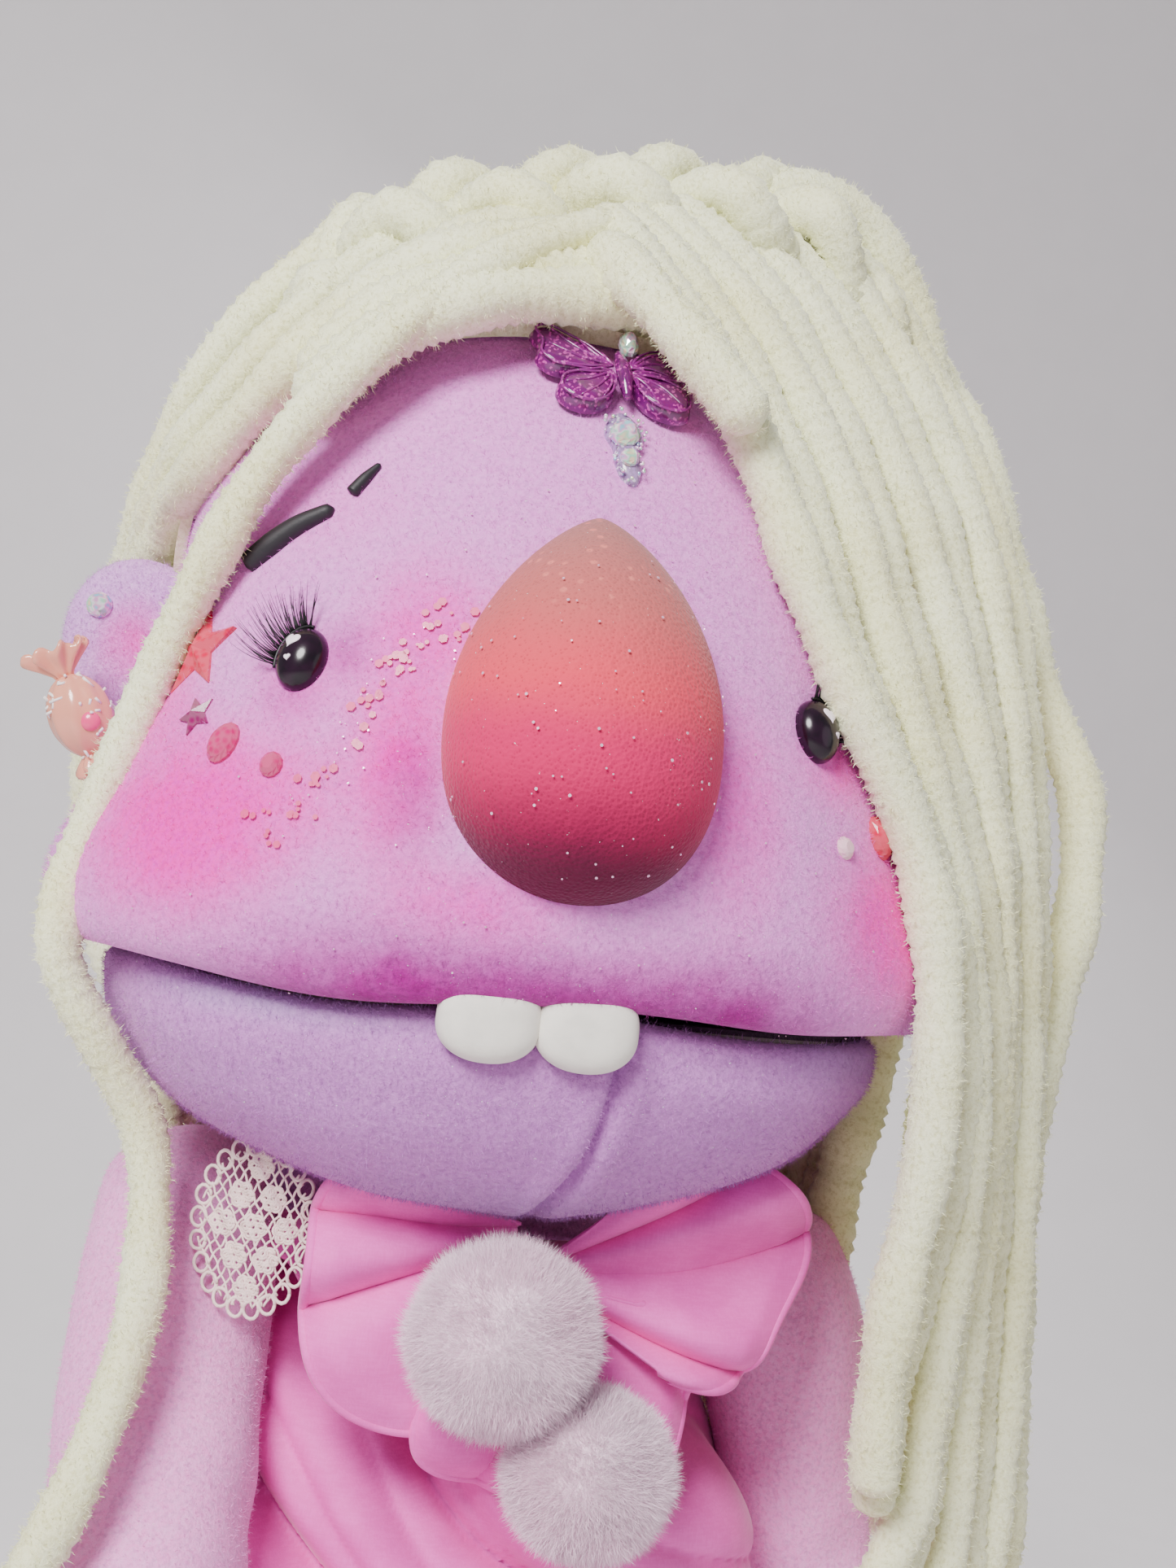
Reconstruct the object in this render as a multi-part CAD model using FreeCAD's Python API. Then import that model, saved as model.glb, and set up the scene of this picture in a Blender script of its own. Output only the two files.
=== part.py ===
import FreeCAD, Part
import math
import os

# A hand puppet with a moving mouth. Millimetres, +Z up. The face looks along -Y and +X is the viewer's right.
# The origin is the centre of the arm opening at the bottom hem.

V = FreeCAD.Vector

# ---- driving dimensions -------------------------------------------------------------------------

FIT_GAP = 0.3             # air between neighbouring pieces
SKIN = 2.5                # fleece thickness
FELT = 0.8                # mouth lining thickness
BOARD = 2.5               # mouth plate thickness
CUTTER = 400.0            # size of the large blocks that trim shapes

MOUTH_Z = 250.0           # height of the closed mouth above the hem
HINGE_Y = -30.0           # mouth corners lie on this line, which is the jaw's hinge
MOUTH_GAP = 1.5           # the lips stay slightly apart
MOUTH_HALF = 66.0         # half the mouth's width
JAW_BACK_GAP = 3.0        # room for the hinge roll between the jaw's shell and its axis
LIP_Y = -80.4             # the teeth hang here, just in front of the jaw
NECK_Y = 14.0             # the neck's axis

# the head's outer sections: height above the mouth, half width, y of the widest line, front y, back y
HEAD_SECTIONS = [
    (0.0, 68.0, -30.0, -80.0, 44.0),
    (9.0, 77.0, -28.0, -84.0, 47.0),
    (30.0, 70.0, -24.0, -82.0, 50.0),
    (47.0, 65.0, -20.0, -77.0, 51.0),
    (75.0, 62.0, -12.0, -65.0, 50.0),
    (103.0, 53.0, -4.0, -48.0, 42.0),
    (122.0, 37.0, 0.0, -28.0, 27.0),
    (134.0, 12.0, 2.0, -6.0, 9.0),
]

# the jaw's outer sections: depth below the mouth, half width, front y; its back is flat at the hinge
JAW_SECTIONS = [
    (MOUTH_GAP, 66.0, -76.5),
    (9.0, 65.0, -77.0),
    (19.0, 58.0, -74.0),
    (28.0, 44.0, -68.0),
    (33.5, 27.0, -60.0),
    (36.0, 9.0, -50.0),
]

# the torso's outer sections: height, half width, half depth, y of the middle
DRESS_SECTIONS = [
    (26.0, 70.0, 50.0, 0.0),
    (60.0, 67.0, 47.0, 0.0),
    (110.0, 62.0, 42.0, 0.0),
    (150.0, 58.0, 37.5, 1.0),
    (172.0, 51.0, 33.5, 4.0),
    (186.0, 43.5, 28.0, 8.0),
    (195.0, 40.0, 24.0, 13.0),
]
WAIST_Z = 118.0           # seam between bodice and skirt
DRESS_WALL = 3.0
FOAM_WALL = 4.0
LINING_WALL = 1.5

CUFF_R = 42.0             # inner radius of the round arm opening
CUFF_WALL = 4.0
CUFF_HEIGHT = 14.0

NECK_HALF_WIDTH = 38.0
NECK_HALF_DEPTH = 21.0
NECK_BOTTOM = 203.0
NECK_TOP = 247.0
NECK_FOAM = 3.0

SHOULDER_X = 58.0
SHOULDER_Y = 0.0
SHOULDER_Z = 207.0
ARM_R = 15.0
PINCH_R = 5.0             # the arm's radius at the stitched elbow

NOSE_R = 21.0
NOSE_X = 2.0
NOSE_LOW = 264.0
NOSE_HIGH = 326.0
NOSE_Y = -82.0

EYE_X = 40.0
EYE_Z = 296.0

CHENILLE = 8.4            # diameter of one strand of the wig's yarn
CAP_WALL = 2.0
HAIRLINE_Y = -50.0        # the wig cap's front edge, from where it slopes down to the nape
HAIRLINE_Z = 364.0
HAIRLINE_SLOPE = 49.0


# ---- helpers ------------------------------------------------------------------------------------

def oval_wire(height, half_width, middle, front, back, count=16):
    """A smooth closed outline at one height, fuller or flatter at the front than at the back."""
    points = []
    for k in range(count):
        turn = 2 * math.pi * k / count
        reach = middle - front if math.sin(turn) < 0 else back - middle
        points.append(V(half_width * math.cos(turn), middle + reach * math.sin(turn), height))
    curve = Part.BSplineCurve()
    curve.interpolate(Points=points, PeriodicFlag=True)
    return Part.Wire(curve.toShape())


def loft(wires, ruled=False):
    return Part.makeLoft(wires, True, ruled)


def head_solid(inset=0.0, floor=0.0):
    """The head's form, shrunk by inset and cut off floor above the mouth."""
    wires = []
    for rise, half, middle, front, back in HEAD_SECTIONS:
        height = MOUTH_Z + rise - (inset if rise > 100.0 else 0.0)
        wires.append(oval_wire(height, half - inset, middle, front + inset, back - inset))
    return loft(wires).common(above(MOUTH_Z + floor))


def jaw_solid(inset=0.0, roof=MOUTH_GAP):
    """The jaw's bowl, shrunk by inset and cut off roof below the mouth."""
    wires = []
    for drop, half, front in JAW_SECTIONS:
        height = MOUTH_Z - drop + (inset if drop > 30.0 else 0.0)
        reach = HINGE_Y - front - inset
        wires.append(oval_wire(height, half - inset, HINGE_Y, HINGE_Y - reach, HINGE_Y + reach))
    bowl = loft(wires)
    return bowl.common(below(MOUTH_Z - roof)).common(in_front(HINGE_Y - JAW_BACK_GAP))


def torso_solid(inset, low, high):
    """The dress's form, shrunk by inset, between two heights."""
    wires = []
    for height, half, depth, middle in DRESS_SECTIONS:
        wires.append(oval_wire(height, half - inset, middle, middle - depth + inset, middle + depth - inset))
    return loft(wires).common(above(low)).common(below(high))


def block(low, high):
    return Part.makeBox(high[0] - low[0], high[1] - low[1], high[2] - low[2], V(*low))


def above(height):
    return block((-CUTTER, -CUTTER, height), (CUTTER, CUTTER, height + 2 * CUTTER))


def below(height):
    return block((-CUTTER, -CUTTER, height - 2 * CUTTER), (CUTTER, CUTTER, height))


def in_front(y):
    return block((-CUTTER, y - 2 * CUTTER, -CUTTER), (CUTTER, y, 2 * CUTTER))


def rounded_block(low, high, radius):
    box = block(low, high)
    return box.makeFillet(radius, box.Edges)


def ellipsoid(centre, radii):
    ball = Part.makeSphere(1.0)
    matrix = FreeCAD.Matrix()
    matrix.scale(*radii)
    shape = ball.transformGeometry(matrix)
    shape.translate(V(*centre))
    return shape


def tube(points, radius):
    """A round rope of one radius along a smooth line through the points."""
    curve = Part.BSplineCurve()
    curve.interpolate([V(*p) for p in points])
    spine = Part.Wire(curve.toShape())
    start, along = curve.value(0.0), curve.tangent(0.0)[0]
    ring = Part.Wire(Part.makeCircle(radius, start, along))
    return spine.makePipeShell([ring], True, True)


def taper(points):
    """A lock through horizontal ovals: each point is x, y, z, half width, half depth."""
    wires = []
    for x, y, z, half_width, half_depth in points:
        wire = oval_wire(z, half_width, 0.0, -half_depth, half_depth, 12)
        wire.translate(V(x, y, 0))
        wires.append(wire)
    return loft(wires)


def mirrored(shape):
    return shape.mirror(V(0, 0, 0), V(1, 0, 0))


def face_y(x, z):
    """The y of the face's surface at one place."""
    probe = Part.makeLine(V(x, -CUTTER, z), V(x, HINGE_Y, z))
    return probe.common(HEAD).BoundBox.YMin


def save(name, shape):
    shape.exportStep("parts/%s.step" % name)
    made[name] = shape


HEAD = head_solid()
made = {}                 # every saved piece by name, so that later pieces are laid against it


# ---- torso --------------------------------------------------------------------------------------

def make_torso():
    cuff_outer = CUFF_R + CUFF_WALL
    cuff = Part.makeCylinder(cuff_outer, CUFF_HEIGHT)
    save("arm_opening_cuff", cuff.cut(Part.makeCylinder(CUFF_R, CUFF_HEIGHT)))

    top = DRESS_SECTIONS[-1][0]
    low = DRESS_SECTIONS[0][0]
    skirt = torso_solid(0.0, low, WAIST_Z).cut(torso_solid(DRESS_WALL, low, WAIST_Z))
    save("dress_skirt", skirt)
    bodice = torso_solid(0.0, WAIST_Z, top).cut(torso_solid(DRESS_WALL, WAIST_Z, top))
    save("dress_bodice", bodice)

    foam_inset = DRESS_WALL + FIT_GAP
    foam = torso_solid(foam_inset, WAIST_Z, top).cut(torso_solid(foam_inset + FOAM_WALL, WAIST_Z, top))
    save("chest_foam", foam)

    # the lining runs from the cuff, where it is round, up to the neck, where it is oval
    wires = []
    cores = []
    inset = foam_inset + FOAM_WALL + 3 * FIT_GAP
    foot_r = CUFF_R + CUFF_WALL / 2
    height, half, depth, middle = DRESS_SECTIONS[3]
    stations = []
    for share in (0.0, 0.25, 0.5, 0.75):
        stations.append((CUFF_HEIGHT + share * (height - CUFF_HEIGHT), foot_r + share * (half - inset - foot_r),
                         foot_r + share * (depth - inset - foot_r), share * middle))
    for height, half, depth, middle in DRESS_SECTIONS[3:]:
        stations.append((height, half - inset, depth - inset, middle))
    for height, half, depth, middle in stations:
        wires.append(oval_wire(height, half, middle, middle - depth, middle + depth))
        thin = LINING_WALL
        cores.append(oval_wire(height, half - thin, middle, middle - depth + thin, middle + depth - thin))
    save("body_lining", loft(wires, ruled=True).cut(loft(cores, ruled=True)))


def make_ruff():
    """A lobed ruffle round the neck, and two large lobes that hang at the front."""
    ring = loft([oval_wire(z, half, NECK_Y, front, back) for z, half, front, back in
                 [(196.5, 45.0, -24.0, 44.0), (200.0, 47.0, -30.0, 49.0), (204.0, 45.0, -24.0, 44.0)]])
    hole = loft([oval_wire(z, NECK_HALF_WIDTH + 1.5, NECK_Y, NECK_Y - 26.0, NECK_Y + 26.0) for z in (190.0, 215.0)])
    for x in (-SHOULDER_X, SHOULDER_X):
        hole = hole.fuse(Part.makeSphere(ARM_R + 3.5, V(x, SHOULDER_Y, SHOULDER_Z)))
    save("ruff_collar", ring.cut(hole))
    save("ruff_lobe_left", ellipsoid((-11.0, -39.0, 196.0), (17.0, 6.0, 16.0)))
    save("ruff_lobe_right", ellipsoid((39.0, -35.5, 199.0), (18.5, 6.0, 12.0)))
    panels = [ellipsoid((x, y, 196.0), (6.0, 2.0, 12.0)) for x, y in ((-34.0, -33.0), (34.0, -26.0))]
    save("lace_collar", Part.makeCompound(panels))


def make_pompoms():
    save("pompom_upper", Part.makeSphere(15.0, V(4.0, -61.0, 196.0)))
    save("pompom_lower", Part.makeSphere(14.0, V(20.0, -62.0, 171.0)))


# ---- neck ---------------------------------------------------------------------------------------

def neck_ring(inset, wall):
    wires = []
    cores = []
    for height in (NECK_BOTTOM, NECK_TOP):
        half = NECK_HALF_WIDTH - inset
        depth = NECK_HALF_DEPTH - inset
        wires.append(oval_wire(height, half, NECK_Y, NECK_Y - depth, NECK_Y + depth))
        cores.append(oval_wire(height, half - wall, NECK_Y, NECK_Y - depth + wall, NECK_Y + depth - wall))
    return loft(wires).cut(loft(cores))


def make_neck():
    save("neck_sleeve", neck_ring(0.0, SKIN))
    save("neck_foam_ring", neck_ring(SKIN + FIT_GAP, NECK_FOAM))


# ---- head ---------------------------------------------------------------------------------------

def make_head_shell():
    hand_way = loft([oval_wire(z, 42.0, NECK_Y, NECK_Y - 26.0, NECK_Y + 23.0) for z in (240.0, 280.0)])
    save("head_skin", HEAD.cut(head_solid(SKIN)).cut(hand_way))

    plate_top = FELT + BOARD
    cavity = rounded_block((-44.0, -64.0, MOUTH_Z - 20.0), (44.0, NECK_Y + 22.0, MOUTH_Z + 36.0), 14.0)
    foam = head_solid(SKIN + FIT_GAP, plate_top + FIT_GAP).cut(cavity).cut(hand_way)
    save("head_foam", foam)

    palate = head_solid(SKIN + FIT_GAP, 0.0).common(in_front(HINGE_Y - JAW_BACK_GAP))
    save("upper_mouth_lining", palate.common(below(MOUTH_Z + FELT)))
    save("upper_mouth_plate", palate.common(above(MOUTH_Z + FELT)).common(below(MOUTH_Z + plate_top)))
    save("finger_strap", strap(34.0, 20.0, -52.0, MOUTH_Z + plate_top, 1))


def strap(half_span, rise, y, base, side):
    """A flat elastic loop across a plate; side is 1 above the plate and -1 below it."""
    width = 16.0
    thick = 1.6
    ends = sorted((base, base + side * rise))
    outer = block((-half_span, y, ends[0]), (half_span, y + width, ends[1]))
    inner_ends = sorted((base, base + side * (rise - thick)))
    inner = block((-half_span + thick, y, inner_ends[0]), (half_span - thick, y + width, inner_ends[1]))
    return outer.cut(inner)


def make_jaw():
    skin = jaw_solid().cut(jaw_solid(SKIN, 0.0))
    save("jaw_skin", skin)
    plate_roof = MOUTH_GAP + FELT
    foam_roof = plate_roof + BOARD + FIT_GAP
    floor = jaw_solid(SKIN + FIT_GAP, MOUTH_GAP)
    save("lower_mouth_lining", floor.common(above(MOUTH_Z - plate_roof)))
    plate = floor.common(below(MOUTH_Z - plate_roof)).common(above(MOUTH_Z - plate_roof - BOARD))
    save("lower_mouth_plate", plate)
    thumb_room = rounded_block((-23.0, -66.0, MOUTH_Z - 26.0), (23.0, 20.0, MOUTH_Z + 10.0), 7.0)
    save("jaw_foam", jaw_solid(SKIN + FIT_GAP, foam_roof).cut(thumb_room))
    save("thumb_strap", strap(18.0, 17.0, -55.0, MOUTH_Z - plate_roof - BOARD, -1))
    roll = Part.makeCylinder(2.0, 2 * MOUTH_HALF - 12.0, V(6.0 - MOUTH_HALF, HINGE_Y, MOUTH_Z - MOUTH_GAP), V(1, 0, 0))
    save("mouth_hinge_roll", roll)


def make_nose():
    """A teardrop sponge with its point up, trimmed where it is glued to the face."""
    tall = NOSE_HIGH - NOSE_LOW
    profile = [(0.0, NOSE_LOW)]
    for share in (0.02, 0.07, 0.15, 0.25, 0.4, 0.5, 0.6, 0.7, 0.8, 0.88, 0.94, 0.98):
        profile.append((NOSE_R * egg(share), NOSE_LOW + share * tall))
    profile.append((0.0, NOSE_HIGH))
    curve = Part.BSplineCurve()
    curve.interpolate([V(r, 0, z) for r, z in profile])
    axis = Part.makeLine(V(0, 0, NOSE_HIGH), V(0, 0, NOSE_LOW))
    outline = Part.Wire([curve.toShape(), axis])
    drop = Part.Face(outline).revolve(V(0, 0, 0), V(0, 0, 1), 360)
    drop.rotate(V(0, 0, NOSE_LOW), V(1, 0, 0), -14.0)
    drop.translate(V(NOSE_X, NOSE_Y, 0))
    save("nose_sponge", drop.cut(HEAD))


def egg(share):
    """The sponge's radius at a share of its height, as a part of its largest radius."""
    widest = 0.4
    if share < widest:
        return (1 - ((widest - share) / widest) ** 2.4) ** 0.5
    return (1 - ((share - widest) / (1 - widest)) ** 2.05) ** 0.8


def bead(x, z, half_width, half_height, height, proud=0.4):
    """A domed piece glued on the face; proud lifts its middle out of the surface."""
    centre = (x, face_y(x, z) - proud, z)
    return ellipsoid(centre, (half_width, height, half_height)).cut(HEAD)


def make_face():
    for side, name in ((-1, "left"), (1, "right")):
        x = side * EYE_X
        save("eye_" + name, bead(x, EYE_Z, 4.0, 5.2, 3.6))
        save("lashes_" + name, lashes(side))
        save("eyebrow_" + name, eyebrow(side).cut(HEAD))
    save("tooth_left", tooth(-14.3, -0.2))
    save("tooth_right", tooth(0.2, 14.7))
    drop = bead(5.0, 337.0, 4.6, 7.4, 4.0)
    save("forehead_drop", drop)
    jewels = [bead(5.5, 353.5, 2.6, 4.2, 2.6)]
    jewels.extend(stone for stone in (crystal(4.6, 339.0, 2.5, drop), crystal(4.8, 333.0, 1.8, drop)))
    save("forehead_crystals", Part.makeCompound(jewels))
    save("butterfly_charm", butterfly().cut(drop).cut(made["forehead_crystals"]))
    save("cheek_gems_left", Part.makeCompound([
        bead(-54.8, 286.0, 2.8, 2.8, 1.8), bead(-50.0, 280.4, 3.0, 2.6, 2.2), bead(-42.6, 279.2, 2.6, 2.6, 1.8)]))
    save("cheek_gems_right", Part.makeCompound([
        bead(54.6, 280.8, 3.4, 4.0, 2.6), bead(46.2, 278.2, 2.6, 2.6, 1.8)]))
    save("temple_star_left", star(-57.0, 296.0, 7.4))


def crystal(x, z, radius, base):
    """A round stone seated on a larger one."""
    front = Part.makeLine(V(x, -CUTTER, z), V(x, HINGE_Y, z)).common(base).BoundBox.YMin
    return ellipsoid((x, front - 0.4, z), (radius, radius * 0.8, radius)).cut(base)


def prism(points, y_front, y_back):
    outline = Part.makePolygon([V(x, y_front, z) for x, z in points + points[:1]])
    return Part.Face(outline).extrude(V(0, y_back - y_front, 0))


def star(x, z, radius):
    """A five-pointed star of pressed resin on the temple."""
    points = []
    for k in range(10):
        reach = radius if k % 2 == 0 else radius * 0.45
        turn = math.pi * (0.5 + k / 5.0)
        points.append((x + reach * 0.6 * math.cos(turn), z + reach * math.sin(turn)))
    front = face_y(x, z)
    plate = prism(points, front - 4.5, front + 14.0)
    layer = head_solid(-2.4)
    return plate.common(layer).cut(HEAD)


def lashes(side):
    """A fan of false lashes standing out from the eye's outer edge."""
    outer, inner, thick = 12.0, 6.0, 0.9
    x = side * EYE_X
    fan = Part.makeCylinder(outer, thick, V(0, 0, 0), V(0, 1, 0))
    fan = fan.cut(Part.makeCylinder(inner, thick, V(0, 0, 0), V(0, 1, 0)))
    fan = fan.common(block((-outer - 1.0, -1.0, -outer * 0.2), (outer * 0.1, 2.0, outer + 1.0)))
    if side > 0:
        fan = mirrored(fan)
    fan.translate(V(x, face_y(x, EYE_Z) - 3.2, EYE_Z))
    return fan.cut(HEAD)


def eyebrow(side):
    """Two clay rolls: a long one with a thick round end, and a short one nearer the nose."""
    def place(x, z):
        return (x, face_y(x, z) - 0.5, z)
    thick = place(-50.3, 311.8)
    thin = place(-38.2, 321.4)
    roll = Part.makeSphere(2.1, V(*thick)).fuse(Part.makeSphere(1.3, V(*thin)))
    roll = roll.fuse(cone_between(thick, 2.1, thin, 1.3))
    tip_low = place(-35.6, 324.9)
    tip_high = place(-32.2, 329.8)
    tip = Part.makeSphere(1.2, V(*tip_low)).fuse(cone_between(tip_low, 1.2, tip_high, 0.5))
    brow = Part.makeCompound([roll.cut(HEAD), tip.cut(HEAD).cut(roll)])
    return brow if side < 0 else mirrored(brow)


def cone_between(a, radius_a, b, radius_b):
    start, end = V(*a), V(*b)
    along = end.sub(start)
    return Part.makeCone(radius_a, radius_b, along.Length, start, along)


def tooth(x_low, x_high):
    """A half-round clay tooth that hangs from the upper lip."""
    half = (x_high - x_low) / 2
    middle = (x_low + x_high) / 2
    disc = ellipsoid((middle, LIP_Y, MOUTH_Z), (half, 1.7, 10.5))
    return disc.common(below(MOUTH_Z - 0.2))


def butterfly():
    """A resin butterfly charm with its wings slightly lifted, above the nose on the forehead."""
    span, x, z = 12.6, 4.5, 346.0
    upper = [(0.5, 0.0), (1.0, 5.0), (5.0, 10.0), (10.0, 11.5), (span, 8.0), (11.5, 2.5), (7.0, -1.0)]
    lower = [(0.5, 0.0), (7.0, -1.0), (9.5, -4.5), (7.5, -9.0), (3.5, -8.0), (1.0, -4.0)]
    front = face_y(x, z) - 5.5
    wings = []
    for sign in (-1, 1):
        for outline in (upper, lower):
            points = [(sign * px, pz) for px, pz in outline]
            wing = prism(points, 0.0, 1.4)
            wing.rotate(V(0, 0, 0), V(0, 0, 1), sign * 16.0)
            wings.append(wing)
    charm = wings[0]
    for wing in wings[1:]:
        charm = charm.fuse(wing)
    charm = charm.fuse(Part.makeCylinder(1.3, 15.0, V(0, 0.4, -8.0), V(0, 0, 1)))
    charm.rotate(V(0, 0, 0), V(1, 0, 0), -38.0)
    charm.translate(V(x, front, z))
    return charm.cut(HEAD)


def make_ears():
    gems = []
    for side, name in ((-1, "left"), (1, "right")):
        ear = ellipsoid((70.0, -6.0, 303.0), (13.0, 5.0, 15.0)).cut(HEAD)
        charm = ellipsoid((81.0, -17.0, 289.0), (7.5, 5.0, 10.5)).cut(ear).cut(HEAD)
        gem = ellipsoid((77.5, -10.8, 308.5), (2.4, 1.6, 2.4)).cut(ear)
        if side < 0:
            ear, charm, gem = [shape.translated(V(-FIT_GAP, 0, 0)) for shape in map(mirrored, (ear, charm, gem))]
        gems.append(gem)
        save("ear_" + name, ear)
        save("ear_charm_" + name, charm)
    save("ear_gems", Part.makeCompound(gems))


# ---- wig ----------------------------------------------------------------------------------------

UNDER_THE_HAIR = ["ear_left", "ear_right", "ear_charm_left", "ear_charm_right", "ear_gems", "eyebrow_right",
                  "lashes_right", "cheek_gems_right", "cheek_gems_left", "temple_star_left"]


def make_wig():
    cap = head_solid(-CAP_WALL - FIT_GAP).cut(head_solid(-FIT_GAP))
    face_side = block((-CUTTER, -CUTTER, -CUTTER), (CUTTER, CUTTER, 0.0))
    face_side.rotate(V(0, 0, 0), V(1, 0, 0), -HAIRLINE_SLOPE)
    face_side.translate(V(0, HAIRLINE_Y, HAIRLINE_Z))
    cap = cap.cut(face_side).cut(made["ear_left"]).cut(made["ear_right"])
    save("wig_cap", cap)

    hull = head_solid(-CAP_WALL - 2 * FIT_GAP)
    placed = [made[name] for name in UNDER_THE_HAIR]
    for name, shape in hair_locks():
        lock = shape.cut(hull)
        for other in placed:
            lock = lock.cut(other)
        solids = sorted(lock.Solids, key=lambda s: s.Volume)
        lock = solids[-1]
        placed.append(lock)
        save(name, lock)


def hair_locks():
    """The wig's bundles of chenille yarn, in the order in which they are laid on the cap."""
    braid = tube([(-44, 2, 372), (-34, 0, 384), (-8, -3, 392), (22, -3, 396), (46, -2, 390), (58, 0, 376)], 13.0)
    right_side = taper([
        (66, -8, 372, 14, 20), (80, -10, 345, 14, 22), (92, -12, 312, 14, 22), (99, -14, 275, 15, 22),
        (102, -15, 235, 13, 20), (104, -16, 190, 12, 18), (107, -18, 140, 12, 15)])
    right_front = taper([
        (30, -46, 362, 13, 8), (44, -58, 335, 13, 8), (56, -64, 308, 12, 8), (68, -62, 280, 10, 8),
        (77, -56, 252, 9, 8), (78, -52, 218, 9, 8), (80, -50, 188, 10, 8), (88, -48, 140, 9, 8)])
    back = taper([
        (0, 50, 372, 44, 14), (0, 62, 335, 62, 13), (0, 66, 290, 70, 13), (0, 66, 240, 68, 13),
        (0, 62, 190, 60, 12), (0, 58, 142, 50, 10)])
    left_side = taper([
        (-52, -14, 366, 12, 9), (-64, -16, 342, 8, 9), (-72, -6, 322, 6, 9), (-78, 14, 302, 6, 9),
        (-77, 32, 278, 7, 9), (-70, 43, 252, 9, 8), (-60, 47, 226, 10, 7), (-54, 46, 192, 10, 6),
        (-52, 46, 146, 9, 6)])
    left_front = tube([
        (-8, -48, 376), (-27, -52, 360), (-44, -56, 340), (-58, -52, 318), (-69, -42, 296),
        (-78, -40, 276), (-82, -42, 262), (-80, -44, 250), (-70, -38, 236), (-60, -33, 222),
        (-55, -41, 200), (-57, -58, 172), (-70, -66, 144)], CHENILLE / 2)
    fringe = tube([(4, -52, 366), (14, -61, 356), (24, -67, 345)], CHENILLE / 2)
    return [("hair_braid_crown", braid), ("hair_right_side", right_side), ("hair_right_front", right_front),
            ("hair_back", back), ("hair_left_side", left_side), ("hair_left_front", left_front),
            ("hair_fringe", fringe)]


# ---- arms ---------------------------------------------------------------------------------------

def limb(start, start_r, end, end_r):
    """A stuffed tube with round ends."""
    shape = cone_between(start, start_r, end, end_r)
    return shape.fuse(Part.makeSphere(start_r, V(*start))).fuse(Part.makeSphere(end_r, V(*end)))


def make_arm(name, shoulder, elbow, wrist, tip):
    """A stuffed arm in two lengths, pinched where the elbow is stitched, with a mitten hand."""
    full_r = ARM_R - 0.8
    wrist_r = ARM_R - 4.0
    above_elbow = between(elbow, shoulder, 0.32)
    below_elbow = between(elbow, wrist, 0.42)
    upper = limb(shoulder, ARM_R, above_elbow, full_r).fuse(cone_between(above_elbow, full_r, elbow, PINCH_R))
    save("upper_arm_" + name, upper.cut(Part.makeSphere(PINCH_R + 2.0, V(*elbow))))
    lower = limb(below_elbow, full_r - 1.0, wrist, wrist_r)
    lower = lower.fuse(cone_between(below_elbow, full_r - 1.0, elbow, PINCH_R)).fuse(Part.makeSphere(PINCH_R, V(*elbow)))
    hand = ellipsoid(tip, (9.5, 11.5, 17.0))
    thumb = ellipsoid((tip[0], tip[1] - 9.0, tip[2] + 7.0), (4.5, 8.0, 5.0))
    hand = hand.fuse(thumb)
    save("forearm_" + name, lower.cut(hand))
    save("hand_" + name, hand)


def between(a, b, share):
    return tuple(p + share * (q - p) for p, q in zip(a, b))


def make_arms():
    left = (-SHOULDER_X, SHOULDER_Y, SHOULDER_Z)
    make_arm("left", left, (-48.0, -57.0, 140.0), (-49.0, -63.0, 98.0), (-49.0, -65.0, 80.0))
    right = (SHOULDER_X + 2.0, SHOULDER_Y, SHOULDER_Z)
    make_arm("right", right, (75.5, 0.0, 140.0), (78.5, -2.0, 98.0), (79.0, -3.0, 80.0))


os.makedirs("parts", exist_ok=True)
make_torso()
make_ruff()
make_pompoms()
make_neck()
make_head_shell()
make_jaw()
make_nose()
make_face()
make_ears()
make_wig()
make_arms()
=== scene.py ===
import math

import bpy
import numpy as np
from mathutils import Matrix, Vector


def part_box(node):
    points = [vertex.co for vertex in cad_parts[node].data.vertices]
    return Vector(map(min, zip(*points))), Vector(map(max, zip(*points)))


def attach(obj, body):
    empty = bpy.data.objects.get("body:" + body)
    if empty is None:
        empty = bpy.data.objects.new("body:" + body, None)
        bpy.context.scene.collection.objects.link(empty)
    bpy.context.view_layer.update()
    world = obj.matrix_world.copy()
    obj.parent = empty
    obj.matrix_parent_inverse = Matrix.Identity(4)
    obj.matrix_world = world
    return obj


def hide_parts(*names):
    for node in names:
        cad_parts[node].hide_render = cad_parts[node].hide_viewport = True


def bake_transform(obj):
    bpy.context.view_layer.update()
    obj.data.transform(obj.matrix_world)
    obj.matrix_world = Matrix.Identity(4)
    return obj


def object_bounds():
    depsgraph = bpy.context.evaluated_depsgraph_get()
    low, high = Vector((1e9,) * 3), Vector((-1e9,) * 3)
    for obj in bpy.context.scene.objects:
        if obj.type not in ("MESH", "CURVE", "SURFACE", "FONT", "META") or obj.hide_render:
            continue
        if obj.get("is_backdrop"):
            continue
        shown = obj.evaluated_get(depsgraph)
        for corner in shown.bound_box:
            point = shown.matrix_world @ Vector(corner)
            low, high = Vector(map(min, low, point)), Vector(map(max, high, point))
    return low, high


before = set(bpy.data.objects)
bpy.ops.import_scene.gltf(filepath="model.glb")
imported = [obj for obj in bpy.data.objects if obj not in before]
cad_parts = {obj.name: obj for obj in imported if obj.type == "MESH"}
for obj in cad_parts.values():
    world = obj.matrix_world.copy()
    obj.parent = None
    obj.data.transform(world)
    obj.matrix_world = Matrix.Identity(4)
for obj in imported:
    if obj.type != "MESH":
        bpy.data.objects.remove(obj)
CAD_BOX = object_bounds()

# Lengths are in millimetres until a mesh is made, which turns them into metres.
MM = 0.001
TAU = 2 * math.pi

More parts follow.
